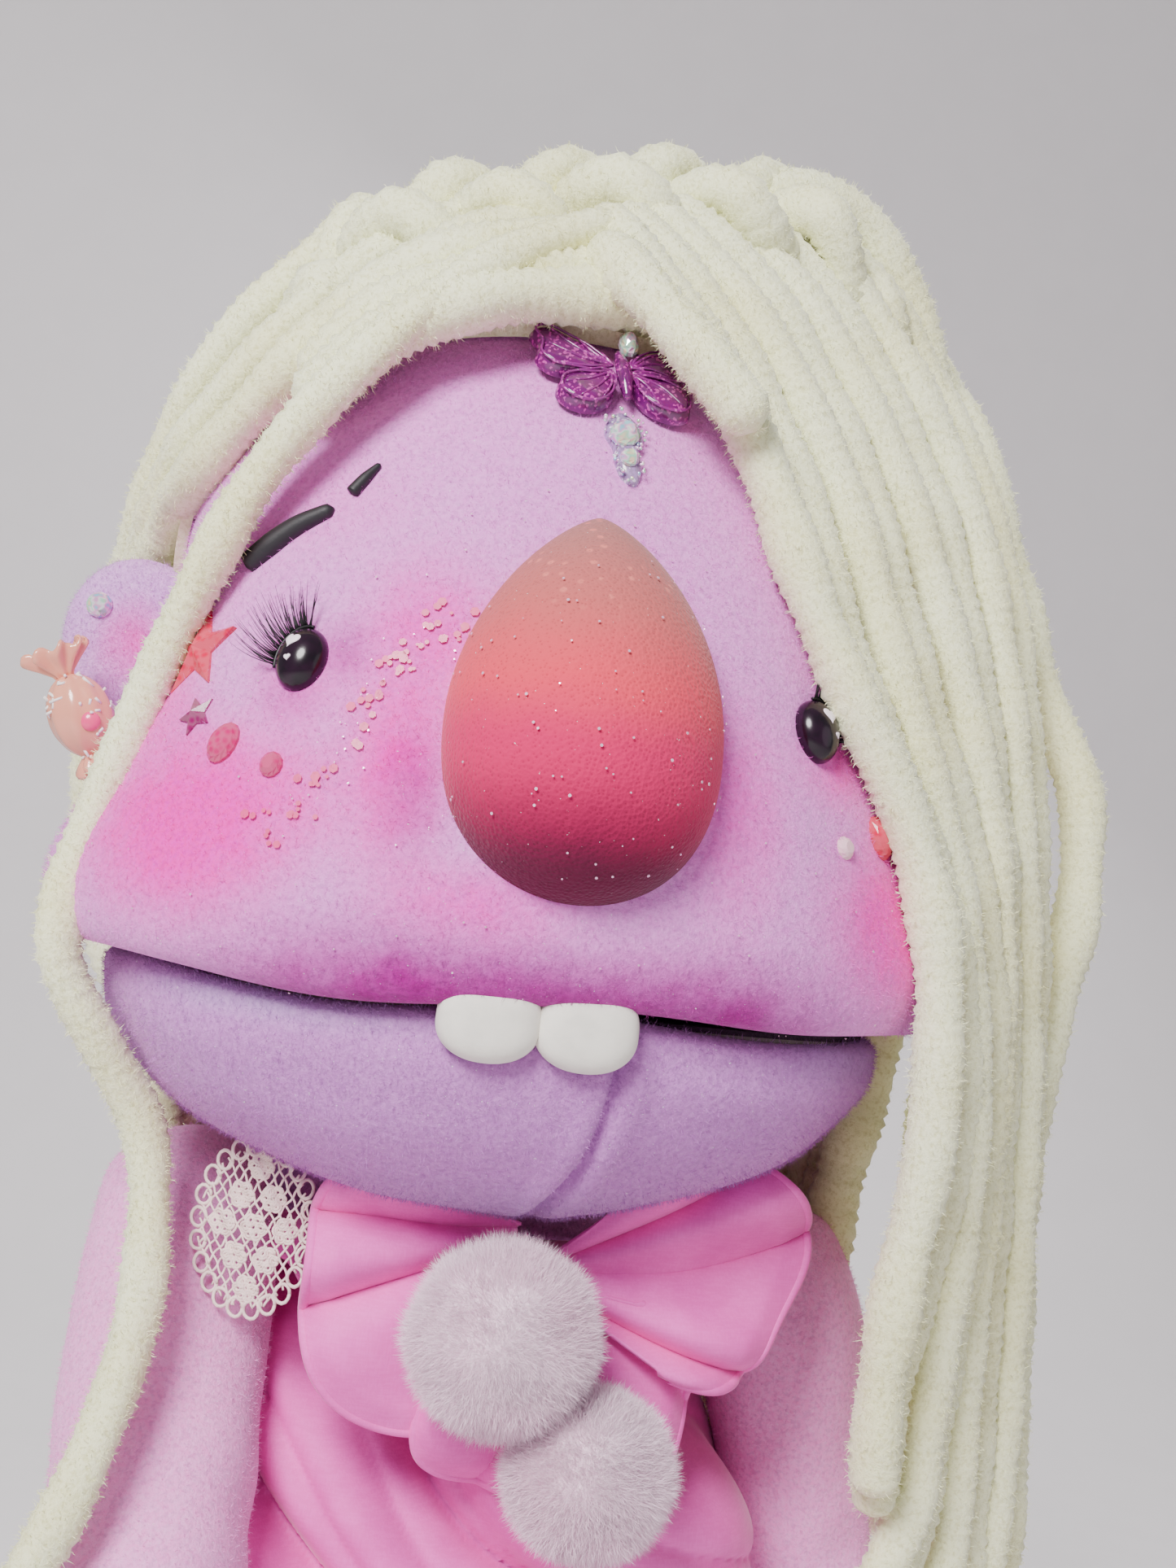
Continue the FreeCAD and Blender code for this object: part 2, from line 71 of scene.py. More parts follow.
# ---- sizes that the CAD model shares ------------------------------------------------------------

MOUTH_Z = 250.0
HINGE_Y = -30.0
MOUTH_GAP = 1.5
NECK_Y = 14.0
NOSE = (2.0, -82.0, 264.0, 326.0, 21.0)      # x, y, lowest and highest z, radius
EYE_X, EYE_Z = 40.0, 296.0
YARN = 8.4                                   # diameter of one strand of chenille
NAP_WIDTH = 0.07                             # one fibre of a nap, at its root

# height above the mouth, half width, y of the widest line, front y, back y
HEAD_SECTIONS = np.array([
    (0.0, 68.0, -30.0, -80.0, 44.0),
    (9.0, 77.0, -28.0, -84.0, 47.0),
    (30.0, 70.0, -24.0, -82.0, 50.0),
    (47.0, 65.0, -20.0, -77.0, 51.0),
    (75.0, 62.0, -12.0, -65.0, 50.0),
    (103.0, 53.0, -4.0, -48.0, 42.0),
    (122.0, 37.0, 0.0, -28.0, 27.0),
    (134.0, 12.0, 2.0, -6.0, 9.0)])

# depth below the mouth, half width, front y
JAW_SECTIONS = np.array([
    (MOUTH_GAP, 66.0, -76.5),
    (9.0, 65.0, -77.0),
    (19.0, 58.0, -74.0),
    (28.0, 44.0, -68.0),
    (33.5, 27.0, -60.0),
    (36.0, 9.0, -50.0)])

# height, half width, half depth, y of the middle
DRESS_SECTIONS = np.array([
    (26.0, 70.0, 50.0, 0.0),
    (60.0, 67.0, 47.0, 0.0),
    (110.0, 62.0, 42.0, 0.0),
    (150.0, 58.0, 37.5, 1.0),
    (172.0, 51.0, 33.5, 4.0),
    (186.0, 43.5, 28.0, 8.0),
    (195.0, 40.0, 24.0, 13.0)])


# ---- curves and meshes --------------------------------------------------------------------------

def smooth(xs, ys, x):
    """A cubic through the points xs, ys, read at x, with no overshoot in between."""
    xs, ys, x = np.asarray(xs, float), np.asarray(ys, float), np.asarray(x, float)
    step = np.diff(xs)
    rise = np.diff(ys) / step
    slope = np.empty(len(xs))
    slope[0], slope[-1] = rise[0], rise[-1]
    same_way = rise[:-1] * rise[1:] > 0
    harmonic = 2 * rise[:-1] * rise[1:] / np.where(same_way, rise[:-1] + rise[1:], 1.0)
    slope[1:-1] = np.where(same_way, harmonic, 0.0)
    k = np.clip(np.searchsorted(xs, x) - 1, 0, len(xs) - 2)
    t = np.clip((x - xs[k]) / step[k], 0.0, 1.0)
    a = (1 + 2 * t) * (1 - t) ** 2 * ys[k] + t * (1 - t) ** 2 * step[k] * slope[k]
    return a + t * t * (3 - 2 * t) * ys[k + 1] + t * t * (t - 1) * step[k] * slope[k + 1]


def spline(points, count):
    """count places evenly spaced along a smooth line through the points."""
    points = np.asarray(points, float)
    reach = np.concatenate([[0.0], np.cumsum(np.linalg.norm(np.diff(points, axis=0), axis=1))])
    fine = np.linspace(0, reach[-1], 600)
    slope = np.gradient(points, reach, axis=0)
    k = np.clip(np.searchsorted(reach, fine) - 1, 0, len(reach) - 2)
    width = (reach[k + 1] - reach[k])[:, None]
    t = ((fine - reach[k])[:, None]) / width
    line = (1 + 2 * t) * (1 - t) ** 2 * points[k] + t * (1 - t) ** 2 * width * slope[k]
    line += t * t * (3 - 2 * t) * points[k + 1] + t * t * (t - 1) * width * slope[k + 1]
    length = np.concatenate([[0.0], np.cumsum(np.linalg.norm(np.diff(line, axis=0), axis=1))])
    even = np.linspace(0, length[-1], count)
    return np.stack([np.interp(even, length, line[:, i]) for i in range(3)], 1)


def line_length(points):
    return float(np.linalg.norm(np.diff(points, axis=0), axis=1).sum())


def ease(value, low, high):
    t = np.clip((np.asarray(value, float) - low) / (high - low), 0, 1)
    return t * t * (3 - 2 * t)


def grid_faces(rows, columns, wrap=True):
    """Quads of a grid of points, row by row; wrap joins the last column to the first."""
    r = np.arange(rows - 1)[:, None] * columns
    c = np.arange(columns if wrap else columns - 1)[None, :]
    after = (c + 1) % columns
    quads = np.stack([r + c, r + after, r + columns + after, r + columns + c], -1)
    return quads.reshape(-1, 4)


def full_turn(count):
    """Angles spaced evenly round a circle."""
    return np.arange(count) * TAU / count


def fan(start, count, apex):
    """Triangles from one point to a ring of count points that begins at start."""
    ring = np.arange(count)
    return np.stack([np.full(count, apex), start + (ring + 1) % count, start + ring], 1)


def make_mesh(name, vertices, faces, material, body=None, smooth_shading=True):
    """A new object from points in millimetres; faces is an array of triangles or quads, or a list of them."""
    groups = faces if isinstance(faces, list) else [faces]
    groups = [np.asarray(g, np.int32) for g in groups if len(g)]
    loops = np.concatenate([g.ravel() for g in groups])
    sizes = np.concatenate([np.full(len(g), g.shape[1], np.int32) for g in groups])
    mesh = bpy.data.meshes.new(name)
    vertices = np.asarray(vertices, np.float64) * MM
    mesh.vertices.add(len(vertices))
    mesh.vertices.foreach_set("co", vertices.astype(np.float32).ravel())
    mesh.loops.add(len(loops))
    mesh.loops.foreach_set("vertex_index", loops)
    mesh.polygons.add(len(sizes))
    loop_starts = np.concatenate([[0], np.cumsum(sizes)[:-1]]).astype(np.int32)
    mesh.polygons.foreach_set("loop_start", loop_starts)
    mesh.polygons.foreach_set("use_smooth", np.full(len(sizes), smooth_shading))
    mesh.update(calc_edges=True)
    mesh.validate()
    piece = bpy.data.objects.new(name, mesh)
    bpy.context.scene.collection.objects.link(piece)
    mesh.materials.append(material)
    if body:
        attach(piece, body)
    return piece


class Build:
    """Collects vertices and faces of several parts that become one mesh."""

    def __init__(self):
        self.points, self.faces, self.total = [], [], 0

    def add(self, points, faces):
        self.points.append(np.asarray(points, float))
        self.faces.append(np.asarray(faces) + self.total)
        self.total += len(points)

    def finish(self, name, material, body=None, smooth_shading=True):
        return make_mesh(name, np.concatenate(self.points), self.faces, material, body, smooth_shading)


def tube_mesh(line, radii, sides):
    """Rings round a line, closed by a fan at each end; radii is per point, or per point and side."""
    line = np.asarray(line, float)
    count = len(line)
    along = np.gradient(line, axis=0)
    along /= np.linalg.norm(along, axis=1)[:, None]
    side = np.cross(along[0], (0.3, 1.0, 0.2))
    across = []
    for k in range(count):
        side = side - along[k] * np.dot(side, along[k])
        side /= np.linalg.norm(side)
        across.append(side)
    across = np.array(across)
    other = np.cross(along, across)
    turn = full_turn(sides)
    radii = np.asarray(radii, float)
    if radii.ndim == 1:
        radii = np.repeat(radii[:, None], sides, 1)
    ring = radii[:, :, None] * (np.cos(turn)[None, :, None] * across[:, None, :]
                                + np.sin(turn)[None, :, None] * other[:, None, :])
    points = (line[:, None, :] + ring).reshape(-1, 3)
    ends = np.array([line[0], line[-1]])
    near_cap = fan(0, sides, count * sides)
    far_cap = fan((count - 1) * sides, sides, count * sides + 1)[:, [0, 2, 1]]
    return np.concatenate([points, ends]), grid_faces(count, sides), np.concatenate([near_cap, far_cap])


def add_tube(build, line, radii, sides):
    """A tube as one part of a build; its points are handed back for the fibres on it."""
    points, quads, caps = tube_mesh(line, radii, sides)
    start = build.total
    build.add(points, quads)
    build.faces.append(caps + start)
    return points


def ball_mesh(centre, radii, rings, sides, shape=None):
    """An ellipsoid as a grid; shape(lat, lon) scales its radius place by place."""
    lat = np.linspace(0.0, math.pi, rings)[:, None]
    lon = full_turn(sides)[None, :]
    unit = np.stack([np.sin(lat) * np.cos(lon), np.sin(lat) * np.sin(lon), np.cos(lat) + 0 * lon], -1)
    if shape is not None:
        unit = unit * shape(lat, lon)[..., None]
    points = np.asarray(centre) + unit * np.asarray(radii)
    return points.reshape(-1, 3), grid_faces(rings, sides)[:, ::-1]


def scatter(piece, count, seed, keep=None):
    """Random places on a piece's surface, spread evenly by area, with their normals, in millimetres."""
    rng = np.random.default_rng(seed)
    mesh = piece.data
    mesh.calc_loop_triangles()
    corners = np.empty(len(mesh.loop_triangles) * 3, np.int32)
    mesh.loop_triangles.foreach_get("vertices", corners)
    corners = corners.reshape(-1, 3)
    co = np.empty(len(mesh.vertices) * 3, np.float32)
    mesh.vertices.foreach_get("co", co)
    co = co.reshape(-1, 3).astype(float) / MM
    a, b, c = (co[corners[:, i]] for i in range(3))
    cross = np.cross(b - a, c - a)
    area = np.linalg.norm(cross, axis=1)
    weight = area.copy()
    if keep is not None:
        weight = weight * keep((a + b + c) / 3)
    pick = rng.choice(len(area), count, p=weight / weight.sum())
    u, v = rng.random(count), rng.random(count)
    flip = u + v > 1
    u[flip], v[flip] = 1 - u[flip], 1 - v[flip]
    places = a[pick] + u[:, None] * (b - a)[pick] + v[:, None] * (c - a)[pick]
    normals = cross[pick] / np.maximum(area[pick], 1e-9)[:, None]
    return places, normals, rng


def fibres(places, normals, rng, length, width, lean):
    """Fine curved hairs as narrow triangles: points and faces."""
    count = len(places)
    wander = rng.normal(size=(count, 3))
    wander -= normals * (wander * normals).sum(1)[:, None]
    wander /= np.maximum(np.linalg.norm(wander, axis=1), 1e-6)[:, None]
    size = length * rng.uniform(0.55, 1.15, count)[:, None]
    way = normals + lean * wander * rng.uniform(0.2, 1.2, count)[:, None]
    way /= np.linalg.norm(way, axis=1)[:, None]
    middle = places + way * size * 0.55
    tip = middle + (way + 0.7 * rng.normal(size=(count, 3)) * lean) * size * 0.4
    broad = np.cross(way, rng.normal(size=(count, 3)))
    broad *= width / 2 / np.maximum(np.linalg.norm(broad, axis=1), 1e-6)[:, None]
    root = places - way * 0.15
    points = np.stack([root - broad, root + broad, middle - broad * 0.8, middle + broad * 0.8, tip], 1)
    start = np.arange(count)[:, None] * 5
    faces = np.concatenate([start + [0, 1, 3], start + [0, 3, 2], start + [2, 3, 4]])
    return points.reshape(-1, 3), faces


def add_fuzz(name, piece, count, length, seed, body, lean=1.0, keep=None):
    """A layer of fine fibres over a piece, in the piece's own material."""
    places, normals, rng = scatter(piece, count, seed, keep)
    points, faces = fibres(places, normals, rng, length, NAP_WIDTH, lean)
    fuzz = make_mesh(name, points, faces, piece.data.materials[0], body)
    return fuzz


# ---- materials ----------------------------------------------------------------------------------

def srgb(red, green, blue):
    """A screen colour from 0 to 255 as linear light."""
    linear = [v / 255 / 12.92 if v < 10 else ((v / 255 + 0.055) / 1.055) ** 2.4 for v in (red, green, blue)]
    return (*linear, 1.0)


WHITE = srgb(255, 255, 255)


class Shade:
    """A procedural material. Patterns are placed in millimetres in the row frame."""

    def __init__(self, name, **sockets):
        self.material = bpy.data.materials.new(name)
        self.material.use_nodes = True
        self.tree = self.material.node_tree
        self.shader = self.tree.nodes["Principled BSDF"]
        for socket, value in sockets.items():
            self.shader.inputs[socket.replace("_", " ")].default_value = value
        self.place = self.vector("MULTIPLY", self.node("TexCoord").outputs["Object"], (1 / MM,) * 3)

    def node(self, kind):
        return self.tree.nodes.new("ShaderNode" + kind)

    def feed(self, socket, value):
        if isinstance(value, bpy.types.NodeSocket):
            self.tree.links.new(value, socket)
        else:
            socket.default_value = value

    def vector(self, operation, a, b=(0, 0, 0)):
        node = self.node("VectorMath")
        node.operation = operation
        self.feed(node.inputs[0], a)
        self.feed(node.inputs[1], b)
        return node.outputs["Value" if operation == "LENGTH" else "Vector"]

    def math(self, operation, a, b):
        node = self.node("Math")
        node.operation = operation
        self.feed(node.inputs[0], a)
        self.feed(node.inputs[1], b)
        return node.outputs[0]

    def range(self, value, low, high, to_low=0.0, to_high=1.0):
        """Eases a value that runs from low to high into one that runs from to_low to to_high."""
        node = self.node("MapRange")
        node.interpolation_type = "SMOOTHSTEP"
        for k, number in enumerate((value, low, high, to_low, to_high)):
            self.feed(node.inputs[k], number)
        return node.outputs[0]

    def noise(self, size, detail=3.0, stretch=(1, 1, 1), roughness=0.55):
        node = self.node("TexNoise")
        scale = tuple(s / size for s in stretch)
        self.feed(node.inputs["Vector"], self.vector("MULTIPLY", self.place, scale))
        node.inputs["Scale"].default_value = 1.0
        node.inputs["Detail"].default_value = detail
        node.inputs["Roughness"].default_value = roughness
        return node.outputs[0]

    def cells(self, size, output="Distance"):
        node = self.node("TexVoronoi")
        self.feed(node.inputs["Vector"], self.vector("MULTIPLY", self.place, (1 / size,) * 3))
        node.inputs["Scale"].default_value = 1.0
        return node.outputs[output]

    def mix(self, share, a, b, blend="MIX"):
        node = self.node("Mix")
        node.data_type = "RGBA"
        node.blend_type = blend
        self.feed(node.inputs[0], share)
        self.feed(node.inputs[6], a)
        self.feed(node.inputs[7], b)
        return node.outputs[2]

    def spot(self, centre, radii):
        """1 at a place on the object, fading to 0 at the radii."""
        away = self.vector("SUBTRACT", self.place, centre)
        reach = self.vector("LENGTH", self.vector("DIVIDE", away, radii))
        return self.range(reach, 0.0, 1.0, 1.0, 0.0)

    def split(self, axis):
        node = self.node("SeparateXYZ")
        self.feed(node.inputs[0], self.place)
        return node.outputs[axis]

    def bump(self, height, strength, depth):
        node = self.node("Bump")
        node.inputs["Strength"].default_value = strength
        node.inputs["Distance"].default_value = depth * MM
        self.feed(node.inputs["Height"], height)
        previous = self.shader.inputs["Normal"].links
        if previous:
            self.feed(node.inputs["Normal"], previous[0].from_socket)
        self.feed(self.shader.inputs["Normal"], node.outputs[0])

    def colour(self, value):
        self.feed(self.shader.inputs["Base Color"], value)
        return self


def fleece(name, base, marks=(), sparkle=0.5):
    """Brushed fleece, mottled, with tiny white glints painted in where light catches single fibres; marks are
    (centre, radii, colour, strength).
    """
    shade = Shade(name, Roughness=0.92, Sheen_Weight=0.22, Sheen_Roughness=0.5, Specular_IOR_Level=0.12)
    colour = base
    wander = shade.noise(5.0, 2.0)
    for centre, radii, paint, strength in marks:
        cover = shade.math("MULTIPLY", shade.spot(centre, radii), strength)
        cover = shade.math("MULTIPLY", cover, shade.range(wander, 0.2, 0.7, 0.8, 1.12))
        colour = shade.mix(cover, colour, paint)
    mottle = shade.range(shade.noise(1.1, 4.0, roughness=0.7), 0.3, 0.7, 0.0, 0.42)
    colour = shade.mix(mottle, colour, WHITE, "SOFT_LIGHT")
    dark = shade.range(shade.noise(0.8, 3.0), 0.34, 0.54, 0.18, 0.0)
    colour = shade.mix(dark, colour, srgb(90, 60, 120), "MULTIPLY")
    # painted glints: white specks mixed into the colour as light catching single fibres
    painted_glints = shade.range(shade.noise(0.42, 2.0), 0.70, 0.76, 0.0, sparkle)
    colour = shade.mix(painted_glints, colour, WHITE)
    shade.bump(shade.noise(0.65, 4.0, roughness=0.7), 0.8, 0.4)
    shade.bump(shade.noise(3.0, 3.0), 0.3, 0.9)
    return shade.colour(colour).material


def cotton(name, base, shadow):
    """Fine plain-weave cotton sateen."""
    shade = Shade(name, Roughness=0.62, Sheen_Weight=0.3, Sheen_Roughness=0.35, Specular_IOR_Level=0.3)
    across = shade.noise(0.32, 1.0, (1, 1, 0.12))
    down = shade.noise(0.32, 1.0, (0.12, 0.12, 1))
    weave = shade.math("ADD", across, down)
    patch = shade.range(shade.noise(14.0, 3.0), 0.35, 0.7, 0.0, 0.35)
    colour = shade.mix(patch, base, shadow)
    # painted shade: the low places of the weave, where the bump sinks, are darkened
    colour = shade.mix(shade.range(weave, 0.85, 1.2, 0.12, 0.0), colour, shadow, "MULTIPLY")
    shade.bump(weave, 0.25, 0.12)
    return shade.colour(colour).material


def foam(name, base):
    shade = Shade(name, Roughness=0.95, Specular_IOR_Level=0.1)
    # painted shade in the pores: the cell centres, which the bump sinks, are darkened
    pore_shade = shade.range(shade.cells(0.7), 0.1, 0.5, 1.0, 0.0)
    colour = shade.mix(shade.math("MULTIPLY", pore_shade, 0.25), base, srgb(120, 100, 95), "MULTIPLY")
    shade.bump(shade.cells(0.7), 0.4, 0.3)
    return shade.colour(colour).material


def chenille_pile(name, base, shadow, patch, depth=0.55, sheen=0.45):
    """Dense short pile of chenille yarn, with painted shade between the tufts and faint patches of another
    tint.
    """
    shade = Shade(name, Roughness=0.95, Sheen_Weight=sheen, Sheen_Roughness=0.4, Specular_IOR_Level=0.1)
    tufts = shade.noise(0.9, 4.0, roughness=0.7)
    # painted shade: darker toward the shadow colour where the tufts' bump is low
    colour = shade.mix(shade.range(tufts, 0.3, 0.56, depth, 0.0), base, shadow, "MULTIPLY")
    warm = shade.range(shade.noise(25.0, 2.0), 0.35, 0.7, 0.0, 0.5)
    colour = shade.mix(warm, colour, patch, "MULTIPLY")
    shade.bump(tufts, 0.7, 0.5)
    return shade.colour(colour).material


def resin(name, base, glitter, shine=0.12, clear=0.0):
    """Cast resin with glitter flakes held in it."""
    shade = Shade(name, Roughness=shine, Coat_Weight=0.8, Coat_Roughness=0.05, Transmission_Weight=clear,
                  IOR=1.5)
    flakes = shade.cells(0.42, "Color")
    value = shade.node("SeparateColor")
    shade.feed(value.inputs[0], flakes)
    bright = shade.range(value.outputs[0], 0.80, 0.86, 0.0, 1.0)
    mid = shade.range(value.outputs[1], 0.3, 0.9, 0.0, 0.45)
    colour = shade.mix(mid, base, glitter, "OVERLAY")
    colour = shade.mix(bright, colour, glitter)
    cloud = shade.range(shade.noise(3.0, 3.0), 0.35, 0.7, 0.0, 0.4)
    colour = shade.mix(cloud, colour, srgb(70, 20, 90), "MULTIPLY")
    shade.bump(shade.noise(1.4, 3.0), 0.3, 0.2)
    return shade.colour(colour).material


def plain(name, base, roughness, grain=0.6, depth=0.1, strength=0.3, tint=0.12, **sockets):
    """A smooth made material with faint unevenness in colour and surface."""
    shade = Shade(name, Roughness=roughness, **sockets)
    patch = shade.noise(grain * 6, 3.0)
    colour = shade.mix(shade.range(patch, 0.3, 0.75, 0.0, tint), base, srgb(60, 50, 55), "MULTIPLY")
    shade.bump(shade.noise(grain, 3.0), strength, depth)
    return shade.colour(colour).material


# ---- surfaces of the head -----------------------------------------------------------------------

def section(table, height):
    """The sizes of a table of sections, read at a height that its first column gives."""
    return [smooth(table[:, 0], table[:, i], height) for i in range(1, table.shape[1])]


def face_y(x, z):
    """Where the front of the head is."""
    half, middle, front, _ = section(HEAD_SECTIONS, np.asarray(z, float) - MOUTH_Z)
    return middle - (middle - front) * np.sqrt(np.clip(1 - (np.asarray(x) / half) ** 2, 0.001, 1))


def face_frame(x, z, lift=0.0):
    """A place on the face with its axes: across, up and outward."""
    step = 1.5
    place = np.array([x, float(face_y(x, z)), z])
    across = np.array([2 * step, float(face_y(x + step, z) - face_y(x - step, z)), 0.0])
    up = np.array([0.0, float(face_y(x, z + step) - face_y(x, z - step)), 2 * step])
    across /= np.linalg.norm(across)
    out = np.cross(across, up)
    out /= np.linalg.norm(out)
    up = np.cross(out, across)
    return place + out * lift, across, up, out


def placed(points, frame_axes, turn=0.0):
    """Points drawn flat (across, up, outward) put on a place of the face, turned by an angle in degrees."""
    origin, across, up, out = frame_axes
    c, s = math.cos(math.radians(turn)), math.sin(math.radians(turn))
    points = np.asarray(points, float)
    a = points[:, 0] * c - points[:, 1] * s
    b = points[:, 0] * s + points[:, 1] * c
    return origin + a[:, None] * across + b[:, None] * up + points[:, 2:3] * out


def ripple(points, seed, size, depth):
    """A slow unevenness for hand-sewn cloth, as an offset per point."""
    rng = np.random.default_rng(seed)
    total = np.zeros(len(points))
    for _ in range(9):
        way = rng.normal(size=3)
        way /= np.linalg.norm(way) * size / TAU * rng.uniform(0.6, 1.6)
        total += np.sin(points @ way + rng.uniform(0, TAU))
    return total / 3 * depth


# ---- camera, stage and light --------------------------------------------------------------------

CAMERA_AT = Vector((-0.0402, -0.3527, 0.264))
CAMERA_TURN, CAMERA_LIFT, CAMERA_ROLL = math.radians(-9.0), math.radians(-3.8), math.radians(7.0)
LENS = 43.47

camera_data = bpy.data.cameras.new("Camera")
camera = bpy.data.objects.new("Camera", camera_data)
bpy.context.scene.collection.objects.link(camera)
bpy.context.scene.camera = camera
back = Vector((math.sin(CAMERA_TURN) * math.cos(CAMERA_LIFT), -math.cos(CAMERA_TURN) * math.cos(CAMERA_LIFT),
               math.sin(CAMERA_LIFT)))
level = (-back).cross(Vector((0, 0, 1))).normalized()
upward = level.cross(-back)
right = math.cos(CAMERA_ROLL) * level + math.sin(CAMERA_ROLL) * upward
over = -math.sin(CAMERA_ROLL) * level + math.cos(CAMERA_ROLL) * upward
camera.matrix_world = Matrix.Translation(CAMERA_AT) @ Matrix((right, over, back)).transposed().to_4x4()
camera_data.lens = LENS
camera_data.clip_start = 0.01

# y and height in metres of the paper, which rises behind the puppet
SWEEP = [(-1.6, 0.0), (-1.1, 0.0), (-0.6, 0.0), (-0.2, 0.0), (0.1, 0.0), (0.35, 0.0), (0.52, 0.0),
         (0.62, 0.006), (0.73, 0.04), (0.82, 0.13), (0.86, 0.28), (0.87, 0.8), (0.87, 1.3), (0.87, 1.8)]
PAPER_HALF_WIDTH = 1600
PAPER_STEPS = 60
sweep_line = spline([(0, y / MM, z / MM) for y, z in SWEEP], PAPER_STEPS)
sweep_line[:, 2] = np.maximum(sweep_line[:, 2], 0.0)
paper_side = np.array((PAPER_HALF_WIDTH, 0, 0))
sweep_points = np.concatenate([sweep_line - paper_side, sweep_line + paper_side])
near = np.arange(PAPER_STEPS - 1)
sweep_rows = np.stack([near, near + PAPER_STEPS, near + PAPER_STEPS + 1, near + 1], 1)
paper = plain("stage_paper", srgb(226, 222, 224), 0.9, grain=4.0, strength=0.05, tint=0.02)
make_mesh("stage_sweep", sweep_points, sweep_rows, paper)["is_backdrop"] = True


def light(name, place, power, size, colour=(1, 1, 1)):
    data = bpy.data.lights.new(name, "AREA")
    data.energy = power
    data.shape = "DISK"
    data.size = size
    data.color = colour
    lamp = bpy.data.objects.new(name, data)
    lamp.location = place
    aim = Vector((0, 0, 0.26)) - lamp.location
    lamp.rotation_euler = aim.to_track_quat("-Z", "Y").to_euler()
    bpy.context.scene.collection.objects.link(lamp)
    lamp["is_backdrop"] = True


light("key", (-0.45, -0.75, 0.85), 19.0, 0.42, (1.0, 0.98, 0.97))
light("fill", (0.8, -0.6, 0.45), 1.2, 0.8, (1.0, 0.95, 1.0))
light("rim", (0.35, 0.6, 0.8), 7.0, 0.5)
world = bpy.data.worlds.new("studio")
bpy.context.scene.world = world
world.use_nodes = True
world.node_tree.nodes["Background"].inputs[0].default_value = (0.92, 0.9, 0.95, 1)
world.node_tree.nodes["Background"].inputs[1].default_value = 0.35


# ---- head skin ----------------------------------------------------------------------------------

LILAC = srgb(232, 134, 222)
JAW_LILAC = srgb(192, 120, 198)
HOT_PINK = srgb(255, 0, 182)
MAGENTA = srgb(156, 10, 128)
ROSE = srgb(250, 66, 196)
LIP_ROLL = 8.0
LIP_TUCK = 4.6                                # how far the upper lip turns in

HEAD_MARKS = [
    ((-55, -62, 270), (31, 36, 23), HOT_PINK, 1.0),
    ((-54, -62, 269), (25, 34, 18), HOT_PINK, 0.95),
    ((-40, -68, 276), (28, 28, 16), HOT_PINK, 0.55),
    ((57, -60, 268), (24, 36, 21), HOT_PINK, 1.0),
    ((58, -60, 268), (18, 32, 15), HOT_PINK, 0.8),
    ((58, -60, 284), (12, 26, 14), ROSE, 0.6),
    ((-64, -44, 290), (14, 26, 17), ROSE, 0.8),
    ((-58, -50, 286), (13, 22, 12), HOT_PINK, 0.4),
    # dusky band along the upper lip's lower edge: partly the lip's airbrushed colour, partly painted shade
    # where the lip rolls under
    ((0, -80, 246), (90, 60, 10.0), srgb(170, 70, 160), 0.7),
    ((-20, -84, 248), (46, 60, 18), MAGENTA, 1.0),
    ((4, -84, 247), (38, 60, 16), MAGENTA, 0.95),
    ((28, -82, 249), (30, 60, 17), MAGENTA, 0.95),
    ((-25, -78, 284), (13, 26, 28), HOT_PINK, 0.85),
    ((-22, -78, 278), (8, 24, 16), MAGENTA, 0.5),
    ((-23, -74, 303), (17, 26, 20), ROSE, 0.95),
    ((-12, -80, 263), (22, 22, 9), ROSE, 0.85),
    ((27, -78, 282), (13, 26, 26), ROSE, 0.7),
    ((-38.0, -60, 292), (13, 22, 13), ROSE, 0.8),
    ((-33.8, -60, 298), (7, 22, 8.5), MAGENTA, 0.75),
    ((-41, -60, 290), (9, 22, 7), MAGENTA, 0.45),
    ((42, -60, 291), (12, 22, 13), ROSE, 0.85),
    ((46, -56, 289), (8, 20, 9), HOT_PINK, 0.7),
    ((-40, -55, 322), (22, 26, 14), ROSE, 0.22),
    ((0, -50, 350), (26, 26, 12), ROSE, 0.15),
]
head_fleece = fleece("head_fleece", LILAC, HEAD_MARKS)

COLUMNS = 288
turn = full_turn(COLUMNS)


def lip_sag(x):
    """How far the soft upper lip hangs below a straight line."""
    return 3.0 * np.exp(-((x + 30) / 24) ** 2) + 1.0 * np.exp(-((x - 40) / 16) ** 2)


def head_rows(heights, insets):
    """Rings of the head at heights above the mouth; insets draw each ring in."""
    rows = []
    for height, inset in zip(heights, insets):
        half, middle, front, rear = section(HEAD_SECTIONS, height)
        x = (half - inset) * np.cos(turn)
        reach = np.where(np.sin(turn) < 0, middle - front - inset, rear - middle - inset)
        rows.append(np.stack([x, middle + np.maximum(reach, 0.1) * np.sin(turn)], 1))
    return np.array(rows)


head_heights = np.concatenate([np.linspace(133.9, 126, 10), np.linspace(125, LIP_ROLL, 130)])
curl = np.radians(np.linspace(6, 200, 22))
heights = np.concatenate([head_heights, np.full(len(curl), LIP_ROLL)])
drops = np.concatenate([head_heights * 0, LIP_ROLL * np.sin(curl)])
insets = np.concatenate([head_heights * 0, LIP_TUCK * (1 - np.cos(curl))])
plan = head_rows(heights, insets)
head_points = np.concatenate([plan, np.repeat((MOUTH_Z + heights - drops)[:, None, None], COLUMNS, 1)], 2)
head_points = head_points.reshape(-1, 3)
outward = head_points - (0, 0, 300)
outward /= np.linalg.norm(outward, axis=1)[:, None]
calm = ease(head_points[:, 2], MOUTH_Z + 1, MOUTH_Z + 14)
near_lip = 1 - ease(head_points[:, 2], MOUTH_Z + 2, MOUTH_Z + 22)
head_points[:, 2] -= lip_sag(head_points[:, 0]) * ease(head_points[:, 1], -40, -62) * near_lip
